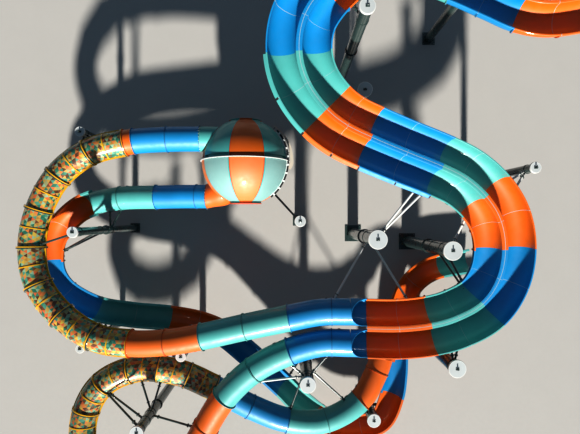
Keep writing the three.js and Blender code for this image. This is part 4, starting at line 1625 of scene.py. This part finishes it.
    def _slanted_tube(
        self, maker: MeshMaker, place: Callable[[float], Station], middle: Point2, finish: str
    ) -> None:
        """Adds a short tube whose roof begins later than its floor, at a rounded arch.

        Args:
            maker: Where the faces go.
            place: Gives the cross-section plane at a share of 0 at the arch's foot to 1 at the joint.
            middle: The tube's middle in the cross-section.
            finish: Its finish.
        """
        rows = 8
        turns = spread(0.0, math.tau, TUBE_SIDES)[:-1]

        def circle(share: float, radius: float) -> list[Vector]:
            """Points round the tube, which lie further along the higher they are.

            Args:
                share: Share of the way from the arch to the joint.
                radius: The skin's radius.

            Returns:
                The points.
            """
            points = []
            for turn in turns:
                lead = self.arch_lead * max(0.0, math.sin(turn)) ** self.arch_power
                station = place(lead + (1 - lead) * share)
                x, y = radius * math.cos(turn), radius * math.sin(turn)
                points.append(station.point(middle[0] + x, middle[1] + y))
            return points

        radii = (TUBE_RADIUS, TUBE_RADIUS - SHELL)
        rings = [[circle(share, radius) for radius in radii] for share in spread(0.0, 1.0, rows)]
        maker.hull(rings, finish)
        edge = rings[0][0][: TUBE_SIDES // 2 + 1]
        for a, b in zip(edge, edge[1:]):
            maker.cylinder(a, b, self.arch_rim, finish, 8)

    def _mouths(self, line: Centreline, start: float, end: float) -> Piece:
        """Two tubes whose roofs begin as an arch above the trough's rims.

        Args:
            line: The route's line.
            start: Length at which it starts.
            end: Length at which it ends.

        Returns:
            The piece.
        """
        maker = MeshMaker()
        first, reach = start + 0.004, end - start - 0.006
        for offset in (-LANE_OFFSET, LANE_OFFSET):
            self._slanted_tube(
                maker, lambda share: line.station(first + reach * share), (offset, -WALL_RISE), "blue"
            )
        self._flange(Run(maker, line, Shape.TWIN, "blue"), start, 1)
        return dress(maker.build("twin_mouth_tubes"), "blue", "twin_mouth")

    def _outlet(self, run: Run, stop: float, end: float) -> None:
        """Adds the arch at which a tube's roof ends and the open trough that goes on from it.

        Args:
            run: The shell's run.
            stop: Length at which the whole tube stops.
            end: Length at which the trough ends.
        """
        self._slanted_tube(
            run.maker,
            lambda share: run.line.station(stop + OUTLET_ARCH * (1 - share)),
            (0.0, 0.0),
            run.finish,
        )
        planes = run.line.planes(stop + 0.02, end - JOINT_GAP, 6)
        run.maker.sweep(planes, self.walls[Shape.TROUGH], run.finish)


@dataclass
class BallChamber:
    """Builds the ball of gores, its seam, its collars and ribs, and the funnel out of it."""

    line_in: Centreline
    bolts: InstanceField
    span_steps: int = 10
    rings: int = 26
    door_reach: float = 2.4
    funnel_steps: int = 12
    seam_bolts: int = 72
    pole_steps: int = 10
    edge_range: tuple[float, float] = (48, 143)
    edge_width: float = 0.022
    edge_root: float = 0.06
    edge_strips: tuple[tuple[float, float, str], ...] = (
        (-0.034, 0.035, "white"),
        (-0.010, EDGE_RISE, "gasket"),
    )
    edge_clamp: Point3 = (0.085, 0.11, 0.15)
    edge_clamp_off: float = 0.075
    rib_range: tuple[float, float] = (38, 99)
    rib_thick: float = 0.05
    rib_widths: tuple[float, float] = (0.05, 0.20)
    rib_feet: Point3 = (0.04, 0.35, 0.65)
    rib_foot_radius: float = 0.02

    @staticmethod
    def plug(radius: float) -> Piece:
        """A hidden filled ball that other pieces are cut with.

        Args:
            radius: The filled ball's radius.

        Returns:
            The helper.
        """
        maker = MeshMaker()
        profile = [(radius * math.sin(a), -radius * math.cos(a)) for a in spread(0.0, math.pi, 48)]
        profile[0], profile[-1] = (0.0, -radius), (0.0, radius)
        maker.revolve(profile, BALL_CENTRE, 96, lambda i, k: "white")
        return hidden(maker.build("ball_plug"))

    def _profile(self, inner: float, recess: float) -> list[Point2]:
        """Radius about the pole axis against the way along it, from the lower pole to the upper one.

        Args:
            inner: How far the skin lies inside the outer one.
            recess: Depth of the pocket above the seam.

        Returns:
            The points.
        """
        lower, upper = BALL_RADIUS - inner, BALL_RADIUS - UPPER_INSET - inner
        groove = upper - recess
        pole = -lower * math.cos(POLE_CAP)
        points = [(0.02, pole), (lower * math.sin(POLE_CAP), pole)]
        half = math.pi / 2 - POLE_CAP
        tilt = [math.pi - POLE_CAP - half * k / self.rings for k in range(1, self.rings + 1)]
        points += [(lower * math.sin(a), lower * math.cos(a)) for a in tilt]
        points += [(groove, 0.01), (groove, RECESS_WIDTH)]
        start = math.asin((RECESS_WIDTH + 0.02) / upper)
        stop = math.pi / 2 - POLE_CAP
        points += [(upper * math.cos(a), upper * math.sin(a)) for a in spread(start, stop, self.rings)]
        points.append((0.02, points[-1][1]))
        return points

    def build(self) -> None:
        """Builds every piece of the ball."""
        loops = []
        for recess in (0.0, RECESS_DEPTH):
            outer, inner = self._profile(0.0, recess), self._profile(BALL_SHELL, recess)
            loops.append(outer + inner[::-1] + outer[:1])
        step = math.tau / GORES
        doors = [self._door_in(), self._door_out(SHELL)]
        for first, hue in ((0, Hue.ORANGE), (1, Hue.TEAL)):
            maker = MeshMaker()
            for k in range(first, GORES, 2):
                self._gore(maker, loops, GORE_START + k * step, hue)
            piece = maker.build(f"ball_gores_{hue.value}_shell", sharp=30)
            for door in doors:
                cut_away(piece, door)
            dress(piece, hue.value, f"ball_gores_{hue.value}")
        self._seam()
        self._poles()
        self._edge_flange()
        self._side_rib()
        self._funnel()

    def _gore(self, maker: MeshMaker, loops: Sequence[Sequence[Point2]], start: float, hue: Hue) -> None:
        """Adds one gore, turned about the pole axis, with a sealed edge on both sides of its pocket.

        Args:
            maker: Where the faces go.
            loops: The profile without and with the pocket.
            start: Turn of its first edge.
            hue: Its colour.
        """
        width = math.tau / GORES
        clear = width - 2 * GORE_EDGE
        middle = [GORE_EDGE + clear * k / self.span_steps for k in range(1, self.span_steps)]
        pocket = GORE_EDGE + 0.004
        cuts = [0.002, GORE_EDGE, pocket, *middle, width - pocket, width - GORE_EDGE, width - 0.002]
        last = len(cuts) - 1
        base = len(maker.verts)
        for column, cut in enumerate(cuts):
            turn = start + cut
            for radius, along in loops[0 if column in (0, 1, last - 1, last) else 1]:
                place = Vector((math.sin(turn) * radius, along, math.cos(turn) * radius))
                maker.verts.append(BALL_CENTRE + place)
        count = len(loops[0])
        for k in range(last):
            for i in range(count - 1):
                # The lower half, which faces the sun, takes the paler copy: partly painted sheen of the sun
                skin = f"{hue.value}_chalk_and_painted_sheen" if i <= self.rings else hue.value
                finish = f"{hue.value}_edge" if k in (0, last - 1) else skin
                a, b = base + k * count + i, base + (k + 1) * count + i
                maker.quad((a, b, b + 1, a + 1), finish)
        half = (count - 1) // 2
        for column in (0, last):
            for i in range(half):
                a, b = base + column * count + i, base + column * count + count - 2 - i
                maker.quad((a, a + 1, b - 1, b) if i < half - 1 else (a, a + 1, b), f"{hue.value}_edge")

    def _seam(self) -> None:
        """The white flange round the ball between its two halves."""
        maker = MeshMaker()
        reach = BALL_RADIUS + SEAM_RISE
        root = BALL_RADIUS - 0.12
        profile = [
            (root, -SEAM_HALF), (reach, -SEAM_HALF), (reach + 0.008, -SEAM_HALF + 0.008),
            (reach + 0.008, SEAM_HALF - 0.008), (reach, SEAM_HALF), (root, SEAM_HALF), (root, -SEAM_HALF),
        ]
        maker.revolve(profile, BALL_CENTRE, 120, lambda i, k: "white", BALL_AXIS)
        dress(maker.build("ball_seam_flange"), "white", "ball_seam")
        for turn in spread(0.0, math.tau, self.seam_bolts)[:-1]:
            place = Vector((math.sin(turn), 0, math.cos(turn))) * (BALL_RADIUS + SEAM_RISE * 0.5)
            self.bolts.put(BALL_CENTRE + place, BALL_AXIS)

    def _poles(self) -> None:
        """A narrow collar with a flat rim on each pole."""
        maker = MeshMaker()
        hues = (Hue.ORANGE.value, Hue.TEAL.value)
        first = GORE_START - math.pi / 2
        for way, radius, rise in ((-1, BALL_RADIUS, SOUTH_RISE), (1, BALL_RADIUS - UPPER_INSET, NORTH_RISE)):
            wide, flat = radius * math.sin(POLE_CAP), radius * math.cos(POLE_CAP)
            collar, top = wide - COLLAR_INSET, flat + rise
            profile = [
                (collar, flat - 0.01), (collar, top - POLE_RIM), (wide - 0.01, top - POLE_RIM),
                (wide, top - POLE_RIM + 0.008), (wide, top - 0.008), (wide - 0.01, top), (0.0, top),
            ]
            maker.revolve(
                [(r, way * height) for r, height in profile],
                BALL_CENTRE,
                GORES * self.pole_steps,
                lambda i, k: "orange_edge" if i and way < 0 else hues[k // self.pole_steps % 2],
                BALL_AXIS,
                first,
            )
        dress(maker.build("ball_poles", sharp=30), "orange")

    @staticmethod
    def _meridian(turn: float, tilts: Iterable[float], radius: float) -> list[Station]:
        """Planes across a line from pole to pole, at a distance from the ball's middle.

        Args:
            turn: Angle of the line about the pole axis.
            tilts: Angles from the upper pole.
            radius: Distance from the ball's middle.

        Returns:
            One plane for each tilt.
        """
        out = Vector((math.sin(turn), 0, math.cos(turn)))
        sideways = Vector((math.cos(turn), 0, -math.sin(turn)))
        stations = []
        for tilt in tilts:
            radial = out * math.sin(tilt) + Vector((0, math.cos(tilt), 0))
            along = out * math.cos(tilt) - Vector((0, math.sin(tilt), 0))
            stations.append(Station(BALL_CENTRE + radial * radius, along, sideways, radial))
        return stations

    def _edge_flange(self) -> None:
        """A dark flange along one gore joint on the ball's right side, held by white clamps."""
        maker = MeshMaker()
        low, high = (math.radians(degrees) for degrees in self.edge_range)
        planes = self._meridian(EDGE_TURN, spread(low, high, 60), BALL_RADIUS - self.edge_root)
        for near, rise, finish in self.edge_strips:
            far, top = near + self.edge_width, rise + self.edge_root
            maker.sweep(planes, Wall(((near, 0.0), (near, top)), ((far, 0.0), (far, top))), finish)
        count = round((high - low) * BALL_RADIUS / CLAMP_EVERY)
        for clamp in self._meridian(EDGE_TURN, middles(low, high, count), BALL_RADIUS + self.edge_clamp_off):
            maker.box(clamp.at, Vector(self.edge_clamp), "white", clamp.turn)
            self.bolts.put(clamp.at, clamp.side)
        dress(maker.build("ball_edge_flange"), "white")

    def _side_rib(self) -> None:
        """A pale laminate rib that stands off the ball's right side, low at the top and high at the seam."""
        maker = MeshMaker()
        low, high = (math.radians(degrees) for degrees in self.rib_range)
        outer, inner = [], []
        for share in spread(0.0, 1.0, 24):
            tilt = low + (high - low) * share
            swell = math.sin(math.pi / 2 * min(1.0, 0.45 + share))
            rise = SIDE_RISE * swell * min(1.0, 1.0 - (share - 0.9) * 4)
            width = self.rib_widths[0] + self.rib_widths[1] * share
            for edge, height in ((outer, rise), (inner, max(-0.03, rise - width))):
                edge.append(self._meridian(SIDE_TURN, [tilt], BALL_RADIUS + height)[0].at)
        thick = self._meridian(SIDE_TURN, [low], BALL_RADIUS)[0].side * self.rib_thick
        maker.ribbon(outer, inner, thick, "laminate")
        for share in self.rib_feet:
            tilt = low + (high - low) * share
            radii = (BALL_RADIUS - 0.02, BALL_RADIUS + 0.20)
            foot, head = (self._meridian(SIDE_TURN, [tilt], radius)[0].at for radius in radii)
            maker.cylinder(foot, head, self.rib_foot_radius, "steel", 10)
        dress(maker.build("ball_side_rib"), "white")

    def _door_in(self) -> Piece:
        """What is cut out of the gores where the tube enters.

        Returns:
            The cutter.
        """
        end, reach = self.line_in.joints[-1], self.door_reach
        stations = [self.line_in.station(s) for s in (end - reach, end - reach / 2, end)]
        return hidden(self._filled(stations, [TUBE_RADIUS - SHELL] * 3, "door_in"))

    def _door_out(self, less: float) -> Piece:
        """What is cut out of the gores at the funnel, a little less wide than its outer skin."""
        radii = [radius - less for radius in self._funnel_radii()]
        return hidden(self._filled(self._funnel_stations(), radii, "door_out"))

    @staticmethod
    def _filled(stations: Sequence[Station], radii: Sequence[float], name: str) -> Piece:
        """A closed round solid through stations with a radius at each.

        Args:
            stations: The planes in order.
            radii: The radius at each.
            name: The object's name.

        Returns:
            The solid.
        """
        maker = MeshMaker()
        count = 40
        for station, radius in zip(stations, radii):
            maker.verts.extend(station.point(x, y) for x, y in arc(0, 0, radius, 0, 360, count)[:-1])
        for k in range(len(stations) - 1):
            for i in range(count):
                j = (i + 1) % count
                maker.quad((k * count + i, k * count + j, (k + 1) * count + j, (k + 1) * count + i), "white")
        last = (len(stations) - 1) * count
        maker.quad(tuple(range(count))[::-1], "white")
        maker.quad(tuple(range(last, last + count)), "white")
        return maker.build(name)

    def _funnel_radii(self) -> list[float]:
        """The funnel's radius at each of its stations.

        Returns:
            The radii.
        """
        out = []
        for k in range(self.funnel_steps + 1):
            t = 2 * k / self.funnel_steps
            low = min(int(t), 1)
            w = t - low
            ease = w * w * (3 - 2 * w) if low else w
            out.append(FLARE_RADII[low] * (1 - ease) + FLARE_RADII[low + 1] * ease)
        return out

    def _funnel_stations(self) -> list[Station]:
        """The funnel's cross-section planes, the last one square to the tube that follows.

        Returns:
            The planes.
        """
        route = Route(Shape.TUBE, FLARE_POINTS[0], (Section("funnel", Hue.ORANGE, FLARE_POINTS[1:]),))
        line = Centreline(route)
        stations = line.planes(0.0, line.lengths[-1], self.funnel_steps)
        stations[-1] = Station.facing(Vector(FLARE_POINTS[-1]), Vector(OUTLET_FACING).normalized())
        return stations

    def _funnel(self) -> None:
        """The funnel out of the ball, with a flange at its end."""
        maker = MeshMaker()
        stations = self._funnel_stations()
        rings = []
        for station, radius in zip(stations, self._funnel_radii()):
            skins = (arc(0, 0, skin, 0, 360, TUBE_SIDES)[:-1] for skin in (radius, radius - SHELL))
            rings.append([[station.point(x, y) for x, y in skin] for skin in skins])
        maker.hull(rings, "orange")
        planes = [stations[-1].moved(-reach) for reach in (0.026, 0.004)]
        maker.sweep(planes, round_wall(TUBE_RADIUS + FLANGE_RISE, TUBE_RADIUS - BITE), "orange_edge")
        piece = maker.build("ball_funnel")
        cut_away(piece, self.plug(BALL_RADIUS - 0.004))
        dress(piece, "orange", "ball_flare")


def hidden(obj: Piece) -> Piece:
    """Keeps a helper out of the picture and out of the object.

    Args:
        obj: The helper.

    Returns:
        The same object.
    """
    obj.hide_render = True
    HELPERS.append(obj)
    return obj


HELPERS: list[Piece] = []


@dataclass
class Masts:
    """Builds the masts, their arms and cradles, and the stand under the ball."""

    lines: dict[str, Centreline]
    shells: dict[str, list[Piece]]
    anchors: InstanceField
    ribs: InstanceField
    joint_share: float = 0.55
    joint_rise: float = 0.06
    joint_half: float = 0.03
    joint_slit: float = 0.003
    joint_bolts: int = 8
    cap_bevel: float = 0.012
    plate_share: float = 1.15
    anchor_share: float = 0.42
    arm_joint_bolts: int = 6
    arm_joints: tuple[float, float] = (0.32, 0.24)
    leg_turns: tuple[int, ...] = (20, 110, 200, 290)
    leg_radius: float = 0.11
    leg_foot: float = 0.6
    leg_anchor: float = 0.23
    stand_pipe: float = 0.09
    targets: dict[str, BVHTree] = field(init=False)

    def __post_init__(self) -> None:
        """Makes the shells ready for the arms to find them."""
        self.targets = {key: self._tree(pieces) for key, pieces in self.shells.items()}

    @staticmethod
    def _tree(pieces: Sequence[Piece]) -> BVHTree:
        """One target for rays out of a route's shells.

        Args:
            pieces: The route's shells.

        Returns:
            The target.
        """
        verts: list[Vector] = []
        polygons: list[tuple[int, ...]] = []
        for piece in pieces:
            base = len(verts)
            verts.extend(v.co.copy() for v in piece.data.vertices)
            polygons.extend(tuple(base + i for i in p.vertices) for p in piece.data.polygons)
        return BVHTree.FromPolygons(verts, polygons)

    def build(self) -> None:
        """Builds every mast and the ball's stand."""
        for spec in MASTS:
            maker = MeshMaker()
            self._post(maker, spec)
            for height in sorted({arm.height for arm in spec.arms}):
                self._collar(maker, spec, height)
            for arm in spec.arms:
                for place in arm.places:
                    self._arm(maker, spec, arm, place)
            dress(maker.build(f"{spec.node}_steel", sharp=28), "steel", spec.node)
        maker = MeshMaker()
        self._post(maker, BALL_MAST)
        self._stand(maker)
        dress(maker.build("ball_stand_steel", sharp=28), "steel", "ball_stand")

    def _post(self, maker: MeshMaker, spec: MastSpec) -> None:
        """Adds a mast's pipe with its bolted joint, its cap and lug, and its base plate.

        Args:
            maker: Where the faces go.
            spec: The mast.
        """
        foot = Vector((*spec.at, 0.0))
        shaft, cap = spec.cap * SHAFT_SHARE, spec.cap / 2
        low, lid = spec.top - CAP_THICK, spec.top
        joint, half, slit = spec.top * self.joint_share, self.joint_half, self.joint_slit
        ring, groove = shaft + self.joint_rise, shaft + self.joint_rise - 0.01
        body = [(0.0, PLATE_THICK), (shaft, PLATE_THICK), (shaft, joint - half), (ring, joint - half)]
        body += [(ring, joint - slit), (groove, joint - slit), (groove, joint + slit), (ring, joint + slit)]
        body += [(ring, joint + half), (shaft, joint + half), (shaft, low), (0.0, low)]
        maker.revolve(body, foot, MAST_SIDES, lambda i, k: "steel")
        bevel = self.cap_bevel
        cover = [(0.0, low), (cap - bevel, low), (cap, low + bevel), (cap, lid - bevel), (cap - bevel, lid)]
        cover += [(cap - 0.05, lid), (0.0, lid)]
        maker.revolve(cover, foot, MAST_SIDES, lambda i, k: "rod" if i in (2, 3, 4) else "cap")
        self._lug(maker, foot + UP * lid)
        side = spec.cap * self.plate_share
        self._base_plate(maker, foot, side, side * self.anchor_share)
        for angle in middles(0.0, math.tau, self.joint_bolts):
            out = outward(angle)
            self.ribs.put(foot + out * (shaft + 0.03) + UP * (PLATE_THICK + 0.10), UP)
            for height in (joint - 0.036, joint + 0.036):
                self.anchors.put(foot + out * (shaft + 0.032) + UP * height, UP)

    def _base_plate(self, maker: MeshMaker, foot: Vector, side: float, reach: float) -> None:
        """Adds a square plate on the ground, with an anchor bolt in each corner.

        Args:
            maker: Where the faces go.
            foot: Middle of the plate's underside.
            side: Its width.
            reach: How far the bolts stand from its middle, both ways.
        """
        maker.box(foot + UP * (PLATE_THICK / 2), Vector((side, side, PLATE_THICK)), "steel")
        for x in (-reach, reach):
            for y in (-reach, reach):
                self.anchors.put(foot + Vector((x, y, PLATE_THICK + 0.02)), UP)

    def _lug(self, maker: MeshMaker, foot: Vector) -> None:
        """Adds the lifting lug in the middle of a cap: a foot plate, an upright plate and its eye.

        Args:
            maker: Where the faces go.
            foot: Middle of the cap's top.
        """
        # The lug and its foot plate are dark steel so that, with the lug's own shadow, they read as the dark
        # mark on the cap: partly painted shade
        maker.box(foot + UP * 0.008, Vector((0.20, 0.13, 0.016)), "steel")
        maker.box(foot + UP * 0.058, Vector((0.045, 0.11, 0.085)), "steel")
        maker.cylinder(foot + Vector((-0.035, 0, 0.115)), foot + Vector((0.035, 0, 0.115)), 0.05, "steel", 20)
        for x in (-0.07, 0.07):
            self.anchors.put(foot + Vector((x, 0.04, 0.02)), UP)

    def _arm(self, maker: MeshMaker, spec: MastSpec, arm: Arm, place: Point2) -> None:
        """Adds a pipe from a collar on the mast to a cradle under a shell, with a bolted joint each end.

        Args:
            maker: Where the faces go.
            spec: The mast.
            arm: What the arm's route, height and paint are.
            place: Where on the plan it reaches the route.
        """
        line, shape = self.lines[arm.route], ROUTES[arm.route].shape
        room = line.lengths[-1] - ARM_END_ROOM
        station = line.station(min(max(line.nearest(place), ARM_END_ROOM), room))
        goal = station.point(0, SEATS[shape])
        root = Vector((*spec.at, arm.height))
        way = (goal - root).normalized()
        hit = self.targets[arm.route].ray_cast(root, way, (goal - root).length)[0]
        tip = (hit or goal) - way * 0.01
        shaft = spec.cap * SHAFT_SHARE
        maker.cylinder(root + way * (shaft * 0.9), tip, ARM_RADIUS, arm.finish, 20)
        seat = Station.facing(root, way)
        maker.box(root + way * (shaft + 0.10), Vector((0.024, 0.26, 0.22)), "steel", seat.turn)
        off_mast, off_shell = self.arm_joints
        for joint in (root + way * (shaft + off_mast), tip - way * off_shell):
            for shift in (-0.013, 0.013):
                faces = (joint + way * (shift - 0.01), joint + way * (shift + 0.01))
                maker.cylinder(*faces, ARM_RADIUS * 1.75, "steel", 20)
            for angle in spread(0.0, math.tau, self.arm_joint_bolts)[:-1]:
                spoke = Matrix.Rotation(angle, 3, way) @ seat.side
                self.anchors.put(joint + spoke * (ARM_RADIUS * 1.4), way)
        maker.box(tip - way * 0.06, Vector((0.16, 0.12, 0.024)), "steel", seat.turn)
        self._cradle(maker, station, shape, root)

    def _collar(self, maker: MeshMaker, spec: MastSpec, height: float) -> None:
        """Adds the ring that the arms of one height leave a mast from.

        Args:
            maker: Where the faces go.
            spec: The mast.
            height: Height of its middle.
        """
        shaft = spec.cap * SHAFT_SHARE
        low, high = shaft - 0.01, shaft + 0.022
        ring = [(low, -0.09), (high, -0.09), (high, 0.09), (low, 0.09), (low, -0.09)]
        maker.revolve(ring, Vector((*spec.at, height)), MAST_SIDES, lambda i, k: "steel")

    def _cradle(self, maker: MeshMaker, station: Station, shape: Shape, root: Vector) -> None:
        """A steel strap that hugs the shell's underside where the arm meets it.

        Args:
            maker: Where the faces go.
            station: The cross-section plane.
            shape: The route's cross-section.
            root: Where the arm leaves the mast.
        """
        planes = [station.moved(way) for way in (-CRADLE_WIDTH / 2, CRADLE_WIDTH / 2)]
        if shape is Shape.TUBE:
            radius = TUBE_RADIUS + 0.002
            skins = (tuple(arc(0, 0, edge, 180, 360, 24)) for edge in (radius + CRADLE_RISE, radius))
            strap = Wall(*skins)
        else:
            near = 1 if (root - station.at).dot(station.side) > 0 else -1
            x, y = (near * LANE_OFFSET, -WALL_RISE) if shape is Shape.TWIN else (0.0, 0.0)
            strap = under_band(x, y, LANE_RADIUS + SHELL + 0.002, CRADLE_RISE, y + WALL_RISE - 0.05)
        maker.sweep(planes, strap, "steel")

    def _stand(self, maker: MeshMaker) -> None:
        """A ring on four legs below the ball, tied to the stand's mast.

        Args:
            maker: Where the faces go.
        """
        pipe = self.stand_pipe
        radius = BALL_RADIUS * math.sin(math.pi / 4) + pipe
        height = BALL_CENTRE.z - BALL_RADIUS * math.cos(math.pi / 4) - pipe
        hub = Vector((BALL_CENTRE.x, BALL_CENTRE.y, height))
        turns = spread(0.0, math.tau, 16)
        ring = [(radius + pipe * math.cos(turn), pipe * math.sin(turn)) for turn in turns]
        maker.revolve(ring, hub, 64, lambda i, k: "steel")
        for degrees in self.leg_turns:
            out = outward(math.radians(degrees))
            foot = Vector((hub.x, hub.y, 0)) + out * radius
            ankle = foot + UP * PLATE_THICK
            maker.cylinder(ankle, hub + out * radius, self.leg_radius, "steel", 24)
            self._base_plate(maker, foot, self.leg_foot, self.leg_anchor)
        mast = Vector((*BALL_MAST.at, height))
        way = (mast - hub).normalized()
        maker.cylinder(hub + way * radius, mast, 0.07, "steel", 18)


@dataclass
class Stage:
    """The floor, the light and the camera."""

    floor_size: float = 260.0
    sun_strength: float = 8.4
    sun_angle: float = math.radians(3)
    sun_colour: Point3 = (1.0, 0.96, 0.90)
    sun_from: Point3 = (0.0, -0.88, 0.475)
    sky_colour: tuple[float, ...] = (0.52, 0.74, 1.0, 1.0)
    sky_strength: float = 0.20
    exposure: float = 0.40
    gamma: float = 0.78

    def build(self) -> None:
        """Builds the stage."""
        self._floor()
        self._light()
        self._camera()

    def _floor(self) -> None:
        """A slab whose top is the ground."""
        maker = MeshMaker()
        size = Vector((self.floor_size, self.floor_size, 0.1))
        maker.box(Vector((CAMERA_PLACE.x, CAMERA_PLACE.y, -size.z / 2)), size, "floor")
        maker.build("studio_floor")

    def _light(self) -> None:
        """A warm key light from the picture's lower edge and a weak blue fill from all sides."""
        lamp = bpy.data.lights.new("key_light", "SUN")
        lamp.energy = self.sun_strength
        lamp.angle = self.sun_angle
        lamp.color = self.sun_colour
        obj = new_object("key_light", lamp)
        obj.rotation_euler = Vector(self.sun_from).to_track_quat("Z", "Y").to_euler()
        world = bpy.data.worlds.new("soft_studio")
        world.use_nodes = True
        background = world.node_tree.nodes["Background"]
        background.inputs["Color"].default_value = self.sky_colour
        background.inputs["Strength"].default_value = self.sky_strength
        bpy.context.scene.world = world
        view = bpy.context.scene.view_settings
        view.view_transform = "Standard"
        view.exposure = self.exposure
        view.gamma = self.gamma

    @staticmethod
    def _camera() -> None:
        """A camera that looks straight down, as the photograph does."""
        data = bpy.data.cameras.new("top_camera")
        data.lens = CAMERA_LENS
        data.sensor_width = CAMERA_SENSOR
        data.clip_end = 500.0
        obj = new_object("top_camera", data)
        obj.location = CAMERA_PLACE
        bpy.context.scene.camera = obj


def main() -> None:
    """Builds the whole scene."""
    logging.basicConfig(level=logging.INFO, format="%(name)s: %(message)s")
    lines = {key: Centreline(route) for key, route in ROUTES.items()}
    bolts = InstanceField("flange_bolts", "zinc", 6, 0.011, 0.066)
    seam_bolts = InstanceField("divider_bolts", "zinc", 8, 0.010, 0.014)
    ball_bolts = InstanceField("ball_bolts", "zinc", 6, 0.020, 0.075)
    anchors = InstanceField("anchor_bolts", "zinc", 6, 0.022, 0.045)
    ribs = InstanceField("base_ribs", "steel", 4, 0.035, 0.20)
    flumes = Flumes(lines, bolts, seam_bolts)
    flumes.build()
    BallChamber(lines["laneA"], ball_bolts).build()
    Masts(lines, flumes.shells, anchors, ribs).build()
    for instances in (bolts, seam_bolts, ball_bolts, anchors, ribs):
        instances.build("steel")
    for helper in HELPERS:
        bpy.data.objects.remove(helper)
    Stage().build()


if __name__ == "__main__":
    main()
